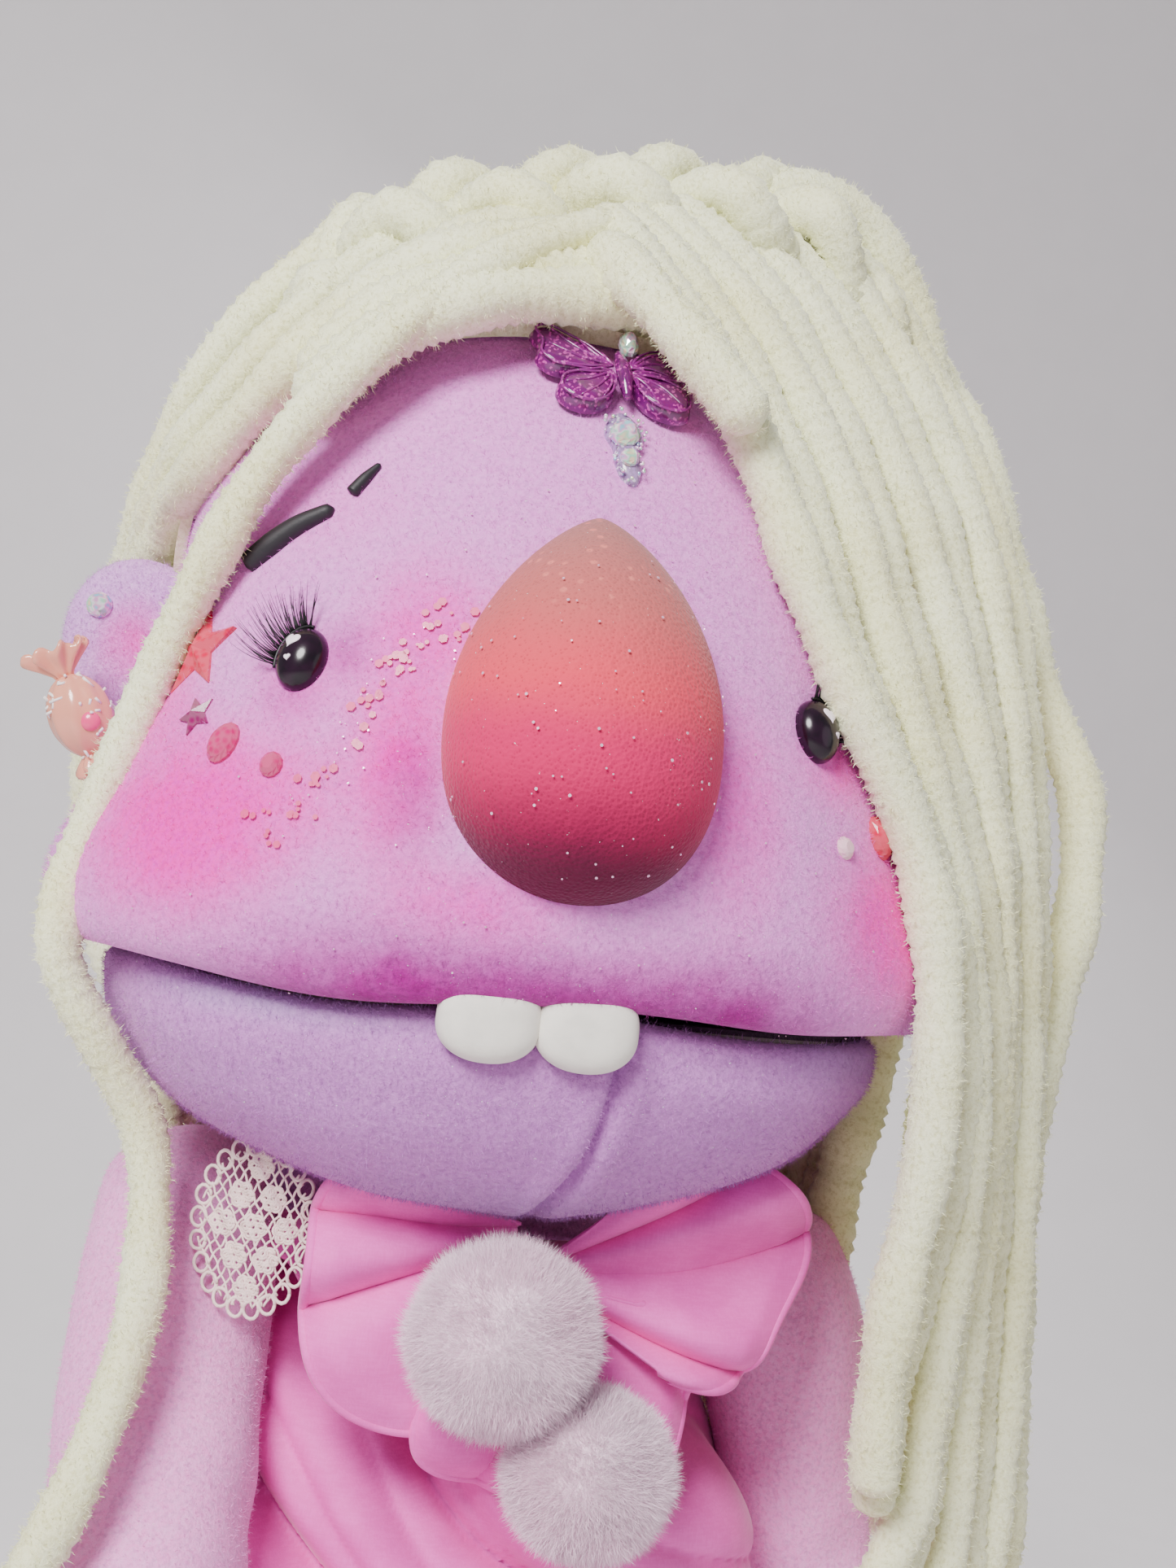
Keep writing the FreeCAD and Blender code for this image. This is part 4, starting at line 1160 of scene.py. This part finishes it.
for sign, tag in ((-1, "left"), (1, "right")):
    points, faces = ball_mesh((sign * 69.5, -6, 302), (13.4, 6.0, 14.6), 60, 72, dish)
    ear = make_mesh("ear_" + tag + "_fleece", points, faces, ear_fleece, "head")
    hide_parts("ear_" + tag)
    add_fuzz("ear_" + tag + "_nap", ear, 7000, 0.9, 50 + sign, "head")

    build = Build()
    body_at = np.array((sign * 76.0, -20.0, 286.5))
    tilted = np.array(Matrix.Rotation(math.radians(sign * 30), 3, "Y"))
    for points, faces in (ball_mesh((0, 0, 0), CANDY_RADII, 30, 40, lumps), wrapper_end(-1), wrapper_end(1)):
        build.add(points @ tilted.T + body_at, faces)
    candy = build.finish("ear_candy_" + tag, peach, "head")
    candy.modifiers.new("wrapper", "SOLIDIFY").thickness = 0.5 * MM
    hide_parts("ear_charm_" + tag)
    points, faces = ball_mesh(body_at + (sign * -2.0, -4.0, -1.0), (1.7, 1.0, 1.7), 14, 20)
    spot = make_mesh("ear_candy_spot_" + tag, points, faces, candy_spot, "head")
    build = Build()
    crumbs = np.random.default_rng(60)
    for _ in range(26):
        way = crumbs.normal(size=3)
        way[1] = -abs(way[1])
        way /= np.linalg.norm(way)
        at = (way * CANDY_RADII) @ tilted.T + body_at
        turned = crumbs.normal(size=3) * 0.45
        add_tube(build, np.array([at - turned, at, at + turned]), np.full(3, 0.26), 6)
    crumb = build.finish("ear_candy_sprinkles_" + tag, sprinkle, "head")

build = Build()
for sign in (-1, 1):
    points, faces = cut_stone(2.3, 2.3, 1.9)
    points = np.stack([points[:, 0], -points[:, 2], points[:, 1]], 1)
    build.add(points + (sign * 76.6, -10.2, 307.0), faces)
ear_stones = build.finish("ear_stones", rainbow, "head", smooth_shading=False)
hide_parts("ear_gems")


# ---- butterfly and forehead drop ----------------------------------------------------------------

def closed_spline(outline, count):
    """A smooth closed outline through the corners."""
    outline = np.asarray(outline, float)
    loop = np.concatenate([outline[-2:], outline, outline[:3]])
    fine = spline(np.column_stack([loop, np.zeros(len(loop))]), 12 * len(loop))[:, :2]
    first = np.argmin(np.linalg.norm(fine[:30] - outline[0], axis=1))
    last = len(fine) - 1 - np.argmin(np.linalg.norm(fine[::-1][:44] - outline[0], axis=1))
    kept = fine[first:last]
    return kept[np.linspace(0, len(kept) - 1, count).astype(int)]


WINGS = [
    [(-0.4, 1.6), (-2.6, 5.2), (-6.5, 8.4), (-11.4, 10.8), (-12.8, 10.0), (-12.0, 6.5), (-12.6, 3.4),
     (-10.8, 1.0), (-7.0, 0.1), (-2.6, -0.2)],
    [(-0.9, 0.2), (-6.6, -0.2), (-9.5, -1.7), (-10.2, -4.8), (-8.4, -7.0), (-5.2, -7.8), (-2.2, -6.4),
     (-0.4, -3.2)],
    [(2.4, 1.6), (4.5, 4.8), (7.8, 6.4), (11.8, 6.2), (11.2, 3.2), (12.4, 1.5), (10.4, -0.2), (5.8, -0.3)],
    [(2.4, 0.0), (7.8, -0.4), (12.2, -1.0), (12.4, -4.6), (11.4, -7.8), (7.8, -8.4), (4.5, -6.5),
     (2.8, -3.2)],
]
butterfly_resin = resin("butterfly_resin", srgb(112, 16, 108), srgb(205, 70, 175), clear=0.1)
vein_resin = resin("butterfly_veins", srgb(132, 30, 124), srgb(205, 90, 180))
WING_POINTS = 60
BUTTERFLY_TURN = 7.0
axes = face_frame(3.4, 349.0, 1.6)
build, veins = Build(), Build()
for wing in WINGS:
    outline = closed_spline(wing, WING_POINTS)
    points, faces = pillow(outline, 2.3, edge=5.0)
    build.add(placed(points, axes, BUTTERFLY_TURN), faces)
    hub = outline[0]
    for k in range(6, WING_POINTS, 9):
        tip = hub + (outline[k] - hub) * 0.88
        side = np.array([-(tip - hub)[1], (tip - hub)[0]]) * 0.08
        line = spline([(*hub, 2.0), (*((hub + tip) / 2 + side), 2.35), (*tip, 2.15)], 12)
        add_tube(veins, placed(line, axes, BUTTERFLY_TURN), np.linspace(0.34, 0.16, len(line)), 6)
    rim = outline.mean(0) + (outline - outline.mean(0)) * 0.9
    line = np.column_stack([rim, np.full(len(rim), 2.1)])
    line = np.concatenate([line, line[:2]])
    add_tube(veins, placed(line, axes, BUTTERFLY_TURN), np.full(len(line), 0.24), 6)
line = spline([(1.0, 4.6, 2.0), (1.0, 0.0, 2.6), (1.0, -6.0, 1.8)], 16)
add_tube(build, placed(line, axes, BUTTERFLY_TURN), 1.3 * np.sin(np.linspace(0.5, 2.7, len(line))), 14)
wings = build.finish("butterfly_wings", butterfly_resin, "head")
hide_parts("butterfly_charm")
veins.finish("butterfly_wing_veins", vein_resin, "head")

silver = resin("silver_glitter", srgb(160, 130, 175), srgb(225, 215, 238), shine=0.25)
DROP_TURN = 5.0
DROP_POINTS = 60
axes = face_frame(5.6, 337.4, 0.2)
drop_outline = closed_spline([(0, 7.6), (2.6, 5.4), (3.4, 1.8), (2.2, -1.4), (2.4, -4.2), (0.6, -8.2),
                              (-1.2, -7.0), (-2.2, -3.8), (-2.3, -0.8), (-3.3, 2.2), (-2.4, 5.6)],
                             DROP_POINTS)
points, faces = pillow(drop_outline, 2.4, edge=2.6)
drop = make_mesh("forehead_glitter_drop", placed(points, axes, DROP_TURN), faces, silver, "head")
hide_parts("forehead_drop")
build = Build()
for across, up, radius, rise in ((-0.5, 1.2, 2.5, 2.0), (0.2, -3.6, 1.6, 1.3)):
    points, faces = cut_stone(radius, radius, rise)
    build.add(placed(points + (across, up, 2.2), axes), faces)
points, faces = cut_stone(1.7, 2.8, 1.8, 10)
build.add(placed(points + (0, 0, 4.0), face_frame(5.2, 354.2, 0.3)), faces)
crystals = build.finish("forehead_stones", rainbow, "head", smooth_shading=False)
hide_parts("forehead_crystals")
build = Build()
beads = np.random.default_rng(70)
for _ in range(70):
    t = beads.uniform(0, TAU)
    at = drop_outline[int(t / TAU * DROP_POINTS)] * beads.uniform(0.55, 1.08)
    centre = (at[0], at[1], 1.3 + beads.uniform(0, 1.0))
    points, faces = ball_mesh(centre, (beads.uniform(0.16, 0.36),) * 3, 8, 10)
    build.add(placed(points, axes, DROP_TURN), faces)
build.finish("forehead_drop_beads", rainbow, "head")


# ---- loose glitter on the face and nose ---------------------------------------------------------

def glitter(name, surface, count, seed, size, keep, material, slot_name="crystal"):
    """Thin six-sided flakes lying on a surface."""
    places, normals, rng = scatter(surface, count, seed, keep)
    build = Build()
    a = full_turn(6)
    corner = np.arange(6)
    sides = np.stack([corner, (corner + 1) % 6, (corner + 1) % 6 + 6, corner + 6], 1)
    for place, normal in zip(places, normals):
        across = np.cross(normal, rng.normal(size=3))
        across /= np.linalg.norm(across)
        up = np.cross(normal, across)
        radius = rng.uniform(*size)
        rim = place + normal * 0.35 + radius * (np.cos(a)[:, None] * across + np.sin(a)[:, None] * up)
        build.add(np.concatenate([rim, rim + normal * 0.12]), sides)
        build.faces.append(np.array([[6, 7, 8], [6, 8, 9], [6, 9, 10], [6, 10, 11]]) + build.total - 12)
    flakes = build.finish(name, material, "head", smooth_shading=False)


glint = plain("glitter_flakes", srgb(250, 205, 232), 0.2, tint=0.02, Metallic=0.4)
coral_flake = plain("coral_flakes", srgb(240, 70, 140), 0.4, tint=0.15, Coat_Weight=0.15)


def along_cheek(points):
    """Near the line of flakes that runs from beside the nose down to the left cheek."""
    x, z = points[:, 0], points[:, 2]
    t = np.clip((x + 21) / -19, 0, 1)
    gap = np.hypot(x + 21 + 19 * t, z - (304 - 31 * t))
    return np.exp(-(gap / 4.2) ** 2) * (points[:, 1] < -40)


glitter("cheek_coral_flakes", head, 70, 81, (0.25, 0.8), along_cheek, coral_flake)
glitter("face_glitter", head, 200, 82, (0.08, 0.2),
        lambda p: (p[:, 1] < -40) * (p[:, 2] < 340) * (0.25 + 2.5 * along_cheek(p)), glint)
glitter("nose_glitter", nose, 90, 83, (0.1, 0.26),
        lambda p: (p[:, 1] < nose_y + 4) * (p[:, 2] > 268), glint, slot_name="sponge")


# ---- dress --------------------------------------------------------------------------------------

pink_cotton = cotton("pink_cotton", srgb(252, 106, 206), srgb(204, 50, 158))
TOP_Z, HEM_Z = DRESS_SECTIONS[-1, 0], DRESS_SECTIONS[0, 0]


def crease(value, sharpness=1.6):
    """Rounded cloth folds with narrow valleys, from -1 to 1."""
    wave = np.abs(np.sin(value / 2))
    return 2 * wave ** (1 / sharpness) - 1


DRESS_ROOM = 2.3                              # how far a fold may sink before it meets the foam
DRESS_CLOTH, RUFF_CLOTH = 0.7, 0.6           # thickness of the cloth
HEM_RADIUS = 1.3
dress_rows, dress_columns = 210, 440
z = np.linspace(TOP_Z, HEM_Z - 2.5, dress_rows)
t = full_turn(dress_columns)
half, deep, middle = section(DRESS_SECTIONS, np.clip(z, HEM_Z, TOP_Z))
zz, tt = np.meshgrid(z, t, indexing="ij")
half, deep, middle = half[:, None], deep[:, None], middle[:, None]
x, y = half * np.cos(tt), middle + deep * np.sin(tt)
out_x, out_y = np.cos(tt) / half, np.sin(tt) / deep
size = np.hypot(out_x, out_y)
out_x, out_y = out_x / size, out_y / size
front = ease(-np.sin(tt), 0.1, 0.7)
chest = ease(zz, 100, 128) * (1 - ease(zz, 186, 195))
slant = x * 0.62 + zz * 0.92 + 5 * np.sin(x / 15 + 1.0) + 3.5 * np.sin(zz / 11)
big = crease(TAU * slant / 27 + 0.9) * 6.0 + 1.4 * crease(TAU * slant / 12.5 + 2.0 * np.sin(x / 21))
gather = crease(26 * tt + 1.6 * np.sin(zz / 30 + 2 * tt) + 0.9 * np.sin(3 * tt + zz / 19))
gather += 0.5 * np.sin(11 * tt + zz / 24) + 0.4 * np.sin(19 * tt - zz / 31)
skirt = (1 - ease(zz, 96, 122)) * (1.2 + 2.6 * ease(-zz, -110, -40))
back_folds = 1.5 * np.sin(9 * tt + 0.12 * zz + np.sin(zz / 17)) * ease(zz, 100, 128)
waist = -3.0 * np.exp(-((zz - 118) / 3.2) ** 2)
puff = 9.0 * np.exp(-((tt - TAU + 0.8) / 0.5) ** 2 - ((zz - 164) / 17) ** 2)
puff += 4.0 * np.exp(-((tt - TAU + 2.3) / 0.45) ** 2 - ((zz - 160) / 20) ** 2)
push = big * front * chest + gather * skirt + back_folds * (1 - front) + waist + puff + 0.8
push *= 1 - 0.8 * ease(zz, 188, 195)
push = np.maximum(push, -DRESS_ROOM)
x, y = x + out_x * push, y + out_y * push
dress_grid = np.stack([x, y, zz], -1)
dress_faces = grid_faces(dress_rows, dress_columns)[:, ::-1]
dress = make_mesh("dress_cloth", dress_grid.reshape(-1, 3), dress_faces, pink_cotton, "torso")
dress.modifiers.new("cloth", "SOLIDIFY").thickness = DRESS_CLOTH * MM
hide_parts("dress_skirt", "dress_bodice")

hem_line = np.concatenate([dress_grid[-1], dress_grid[-1][:2]]) + (0, 0, 1.2)
build = Build()
add_tube(build, hem_line, np.full(len(hem_line), HEM_RADIUS), 8)
hem = build.finish("dress_hem_roll", pink_cotton, "torso")


RUFFLE_LIFT = 6.0                            # how far a lobe stands off the chest


def ruffle(name, pin, direction, spread, length, waves, depth, seed, node=None, tilt=0.0):
    """A fan of cloth gathered at one point, with fold ridges that open towards a rolled edge."""
    rng = np.random.default_rng(seed)
    rows, columns = 46, 150
    r, a = np.meshgrid(np.linspace(0.06, 1, rows), np.linspace(-0.5, 0.5, columns), indexing="ij")
    angle = math.radians(direction) + a * math.radians(spread)
    reach = length * r * (1 + 0.07 * np.sin(waves * 3.1 * a + 1) - 0.42 * (2 * a) ** 6)
    shift = rng.uniform(0, TAU, 3)
    ridges = TAU * waves * (a + 0.07 * np.sin(9 * a + shift[0]))
    fold = crease(ridges + 1.1 * np.sin(2.6 * r + shift[1]), 1.25)
    fold += 0.45 * np.sin(TAU * waves * 0.5 * a + 4 * r + shift[2])
    out = RUFFLE_LIFT * np.sin(math.pi * 0.62 * r) + depth * r ** 0.8 * fold + 0.8 * np.sin(7 * a + 5 * r)
    out -= 3.0 * np.clip(r - 0.9, 0, 1) * RUFFLE_LIFT
    grid = np.stack([reach * np.cos(angle), -out + tilt * reach, reach * np.sin(angle)], -1) + pin
    cloth = make_mesh(name, grid.reshape(-1, 3), grid_faces(rows, columns, wrap=False), pink_cotton, "torso")
    cloth.modifiers.new("cloth", "SOLIDIFY").thickness = RUFF_CLOTH * MM
    roll = Build()
    add_tube(roll, spline(grid[-1][::3], columns), np.full(columns, 0.95), 10)
    rolled = roll.finish(name + "_rolled_edge", pink_cotton, "torso")
    if node:
        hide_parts(node)


ruffle("ruff_lobe_left_cloth", (8, -43, 212), -144, 112, 38, 3.1, 3.6, 91, node="ruff_lobe_left")
ruffle("ruff_lobe_right_cloth", (8, -42, 204), 8, 72, 46, 3.0, 3.6, 92, node="ruff_lobe_right", tilt=0.1)
ruffle("ruff_under_cloth", (8, -40, 204), -66, 120, 37, 3.2, 3.4, 93)

rows, columns = 26, 420
r, a = np.meshgrid(np.linspace(0, 1, rows), np.linspace(0, TAU, columns, endpoint=False), indexing="ij")
wave = np.sin(17 * a + 0.8 * np.sin(2 * a))
side_room = np.abs(np.cos(a)) ** 3
outer = (1 - side_room) * np.where(np.sin(a) > 0, 9.0, 26.0) + 5.5
x = (39.5 + outer * 0.55 * r) * np.cos(a)
y = NECK_Y + (23.5 + outer * r) * np.sin(a)
z = 203 - 8 * r * (1 - side_room) + wave * r * (0.8 + 3.4 * (1 - side_room))
z = z + 3 * np.sin(math.pi * r) * (1 - side_room)
ruff_grid = np.stack([x, y, z], -1)
ruff = make_mesh("ruff_collar_cloth", ruff_grid.reshape(-1, 3), grid_faces(rows, columns), pink_cotton,
                 "torso")
ruff.modifiers.new("cloth", "SOLIDIFY").thickness = RUFF_CLOTH * MM
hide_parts("ruff_collar")

LACE_HALF_WIDTH, LACE_HALF_HEIGHT = 9.5, 13.0
LACE_Z = 207
SCALLOPS = 22
lace_thread = plain("lace_thread", srgb(252, 226, 222), 0.85, grain=0.3, tint=0.12)


def lace_thread_line(build, centre, lean, across, up, radius):
    """One thread of the lace, given flat and laid over the shoulder's curve."""
    x = centre[0] + across * math.cos(lean)
    weave = 0.35 * np.sin(1.9 * across + 1.3 * up)
    y = centre[1] - 1.6 * np.cos(across / 5) + across * math.sin(lean) + weave
    add_tube(build, np.stack([x, y, LACE_Z + up], 1), np.full(len(across), radius), 5)


build = Build()
for centre, lean in (((-36.0, -39.0), -0.35), ((36.0, -33.0), 0.35)):
    along = np.linspace(-14, 14, 60)
    for slant in (-0.62, 0.62):
        for offset in np.arange(-18, 18.1, 1.7):
            across = offset + slant * along + 0.15 * np.sin(2.2 * along + offset)
            inside = (across / LACE_HALF_WIDTH) ** 2 + (along / LACE_HALF_HEIGHT) ** 2 < 1
            if inside.sum() > 3:
                lace_thread_line(build, centre, lean, across[inside], along[inside], 0.2)
    around = np.linspace(0, TAU, 14)
    for row in range(-2, 3):
        for column in range(-1, 2):
            flower_x, flower_z = 5.4 * (column + 0.5 * (row % 2)), 4.9 * row
            if (flower_x / LACE_HALF_WIDTH) ** 2 + (flower_z / LACE_HALF_HEIGHT) ** 2 > 0.8:
                continue
            for petal in range(6):
                turned = petal * TAU / 6
                petal_x = flower_x + 1.25 * math.cos(turned)
                petal_z = flower_z + 1.25 * math.sin(turned)
                for size in (0.85, 0.45):
                    lace_thread_line(build, centre, lean, petal_x + size * np.cos(around),
                                     petal_z + size * np.sin(around), 0.27)
    for scallop in range(SCALLOPS):
        turned = scallop * TAU / SCALLOPS
        lace_thread_line(build, centre, lean, LACE_HALF_WIDTH * math.cos(turned) + 1.3 * np.cos(around),
                         LACE_HALF_HEIGHT * math.sin(turned) + 1.5 * np.sin(around), 0.32)
lace = build.finish("lace_openwork", lace_thread, "torso")
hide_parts("lace_collar")


# ---- pom-poms -----------------------------------------------------------------------------------

POMPOM_PILE = 2.2                            # how far the pile stands beyond the core
pompom_wool = chenille_pile("pompom_wool", srgb(255, 232, 246), srgb(252, 214, 234), srgb(255, 236, 246),
                            depth=0.12, sheen=1.0)


def lumpy(lat, lon):
    """A hand-wound ball that isn't quite round."""
    return 1 + 0.03 * np.sin(5 * lon + 3 * lat) * np.sin(lat) + 0.02 * np.sin(9 * lat)


for node, centre, radius, seed in (("pompom_upper", (3.4, -61, 197.5), 15.4, 101),
                                   ("pompom_lower", (19.0, -62, 178.5), 13.6, 102)):
    points, faces = ball_mesh(centre, (radius - POMPOM_PILE,) * 3, 40, 56, lumpy)
    ball = make_mesh(node + "_core", points, faces, pompom_wool, "torso")
    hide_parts(node)
    add_fuzz(node + "_pile", ball, 42000, 3.1, seed, "torso", lean=0.45)


# ---- arms, hands and neck -----------------------------------------------------------------------

# The one mark is painted shade: a darker patch on top of the left sleeve, under the hair and ruff that hang
# over it.
sleeve_fleece = fleece("sleeve_fleece", srgb(255, 156, 226),
                       [((-45, -20, 190), (30, 40, 30), srgb(240, 140, 200), 0.3)])


def sleeve(tag, path, radii, seed):
    """A stuffed fleece sleeve with a lengthwise crease and soft wrinkles, along a curved line from the
    shoulder.
    """
    name = "sleeve_" + tag
    pair = ("upper_arm_" + tag, "forearm_" + tag)
    rows, sides = 150, 56
    line = spline(path, rows)
    s = np.linspace(0, 1, rows)[:, None]
    around = full_turn(sides)[None, :]
    radius = smooth(np.linspace(0, 1, len(radii)), radii, s[:, 0])[:, None]
    from_crease = np.angle(np.exp(1j * (around - 4.3 - 0.5 * np.sin(4 * s))))
    fold = -0.13 * np.exp(-(from_crease / 0.16) ** 2) * ease(s, 0.05, 0.3)
    bunch = 0.035 * np.sin(46 * s + 1.7 * np.sin(around + 2)) * np.exp(-((s - 0.52) / 0.13) ** 2)
    uneven = 0.025 * np.sin(2 * around + 7 * s) + 0.02 * np.sin(5 * around - 11 * s)
    shape = radius * (1 + fold + bunch + uneven)
    shape = shape * np.sqrt(np.clip(1 - (1 - np.clip(s / 0.07, 0, 1)) ** 2, 0.03, 1))
    points, quads, caps = tube_mesh(line, shape, sides)
    arm = make_mesh(name, points, [quads, caps], sleeve_fleece)
    way = line[-1] - line[0]
    way /= np.linalg.norm(way)
    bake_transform(arm)
    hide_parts(*pair)
    places, normals, rng = scatter(arm, 16000, seed)
    nap_points, nap_faces = fibres(places, normals, rng, length=0.9, width=NAP_WIDTH, lean=1.0)
    nap = make_mesh(name + "_nap", nap_points, nap_faces, sleeve_fleece)
    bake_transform(nap)


def hand(tag, tip):
    """A mitten with three stubby fingers and a thumb."""
    build = Build()
    x, y, z = tip
    parts = [((x, y, z + 5), (8.2, 9.4, 11.5))]
    parts += [((x, y + 5.6 * k, z - 8.5), (4.6, 3.7, 8.6 - 0.8 * abs(k))) for k in (-1, 0, 1)]
    parts.append(((x, y - 10.5, z + 5.5), (4.2, 6.2, 4.4)))
    for centre, radii in parts:
        points, faces = ball_mesh(centre, radii, 22, 28)
        build.add(points, faces)
    mitten = build.finish("mitten_" + tag, sleeve_fleece)
    remesh = mitten.modifiers.new("join", "REMESH")
    remesh.mode = "VOXEL"
    remesh.voxel_size = 0.9 * MM
    soften = mitten.modifiers.new("soften", "SMOOTH")
    soften.factor, soften.iterations = 0.6, 6
    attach(mitten, "forearm_" + tag)
    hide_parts("hand_" + tag)


LEFT_ARM = [(-49, 2, 209), (-48, -8, 203), (-47, -30, 177), (-46, -55, 146), (-48, -61, 120),
            (-49, -63.5, 92)]
RIGHT_ARM = [(57, 2, 209), (60, -1, 203), (69, 0, 172), (75.5, 0, 140), (77.5, -1.5, 118),
             (78.8, -2.5, 92)]
sleeve("left", LEFT_ARM, (14.5, 16.5, 16.0, 14.5, 12.5, 9.5), 111)
sleeve("right", RIGHT_ARM, (14.0, 15.5, 14.0, 12.5, 11.5, 9.5), 112)
hand("left", (-49, -65, 82))
hand("right", (79, -3, 82))

rows, columns = 60, 160
s, a = np.meshgrid(np.linspace(0, 1, rows), np.linspace(0, TAU, columns, endpoint=False), indexing="ij")
wrinkle = 0.7 * np.sin(TAU * 3.4 * s + 1.4 * np.sin(3 * a)) + 0.4 * np.sin(TAU * 5 * s + 2 * a)
NECK_HALF_WIDTH, NECK_HALF_DEPTH, NECK_LOW_Z, NECK_LENGTH = 38.3, 21.3, 199, 50
x = (NECK_HALF_WIDTH + wrinkle) * np.cos(a)
y = NECK_Y + (NECK_HALF_DEPTH + wrinkle) * np.sin(a)
z = NECK_LOW_Z + NECK_LENGTH * s
neck_points = np.stack([x, y, z], -1).reshape(-1, 3)
neck = make_mesh("neck_fleece", neck_points, grid_faces(rows, columns), jaw_fleece)
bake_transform(neck)
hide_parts("neck_sleeve")


# ---- pieces that stay as the CAD model has them, and the ribbed cuff ------------------------------

pale_foam = foam("upholstery_foam", srgb(244, 232, 214))
dark_felt = fleece("mouth_felt", srgb(46, 20, 44), sparkle=0.05)
board = plain("mouth_board", srgb(120, 110, 108), 0.85, tint=0.15)
elastic = plain("elastic_webbing", srgb(30, 28, 32), 0.8, grain=0.3, strength=0.5, tint=0.1)
lining = cotton("lining_cotton", srgb(236, 214, 226), srgb(200, 168, 186))
for material, nodes in ((pale_foam, ("chest_foam", "neck_foam_ring", "head_foam", "jaw_foam")),
                        (dark_felt, ("upper_mouth_lining", "lower_mouth_lining", "mouth_hinge_roll")),
                        (board, ("upper_mouth_plate", "lower_mouth_plate")),
                        (elastic, ("finger_strap", "thumb_strap")),
                        (lining, ("body_lining",))):
    for node in nodes:
        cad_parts[node].material_slots[0].material = material

knit = cotton("cuff_knit", srgb(244, 150, 206), srgb(214, 96, 168))
RIBS, RIB_DEPTH = 96, 0.35
INSIDE_OF_CUFF = 44                          # the ribs are on the part with a larger radius than this
a = full_turn(RIBS * 8)
profile = [(42.6, 0.6), (43.4, 0.05), (45.0, 0.05), (45.9, 0.7), (46.0, 3), (46.0, 7), (46.0, 11),
           (45.8, 13.4), (45.0, 14.0), (43.2, 14.0), (42.5, 13.2), (42.3, 11), (42.3, 7), (42.3, 3),
           (42.6, 0.6)]
cuff_rows = []
for radius, z in profile:
    rib = RIB_DEPTH if radius > INSIDE_OF_CUFF else 0.0
    ribbed = radius - rib * (0.5 + 0.5 * np.cos(RIBS * a))
    cuff_rows.append(np.stack([ribbed * np.cos(a), ribbed * np.sin(a), np.full(len(a), z)], 1))
cuff = make_mesh("arm_cuff_knit", np.concatenate(cuff_rows), grid_faces(len(profile), len(a)), knit, "torso")
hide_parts("arm_opening_cuff")

low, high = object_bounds()
sizes = {"cad": [list(CAD_BOX[0]), list(CAD_BOX[1])], "visual": [list(low), list(high)]}
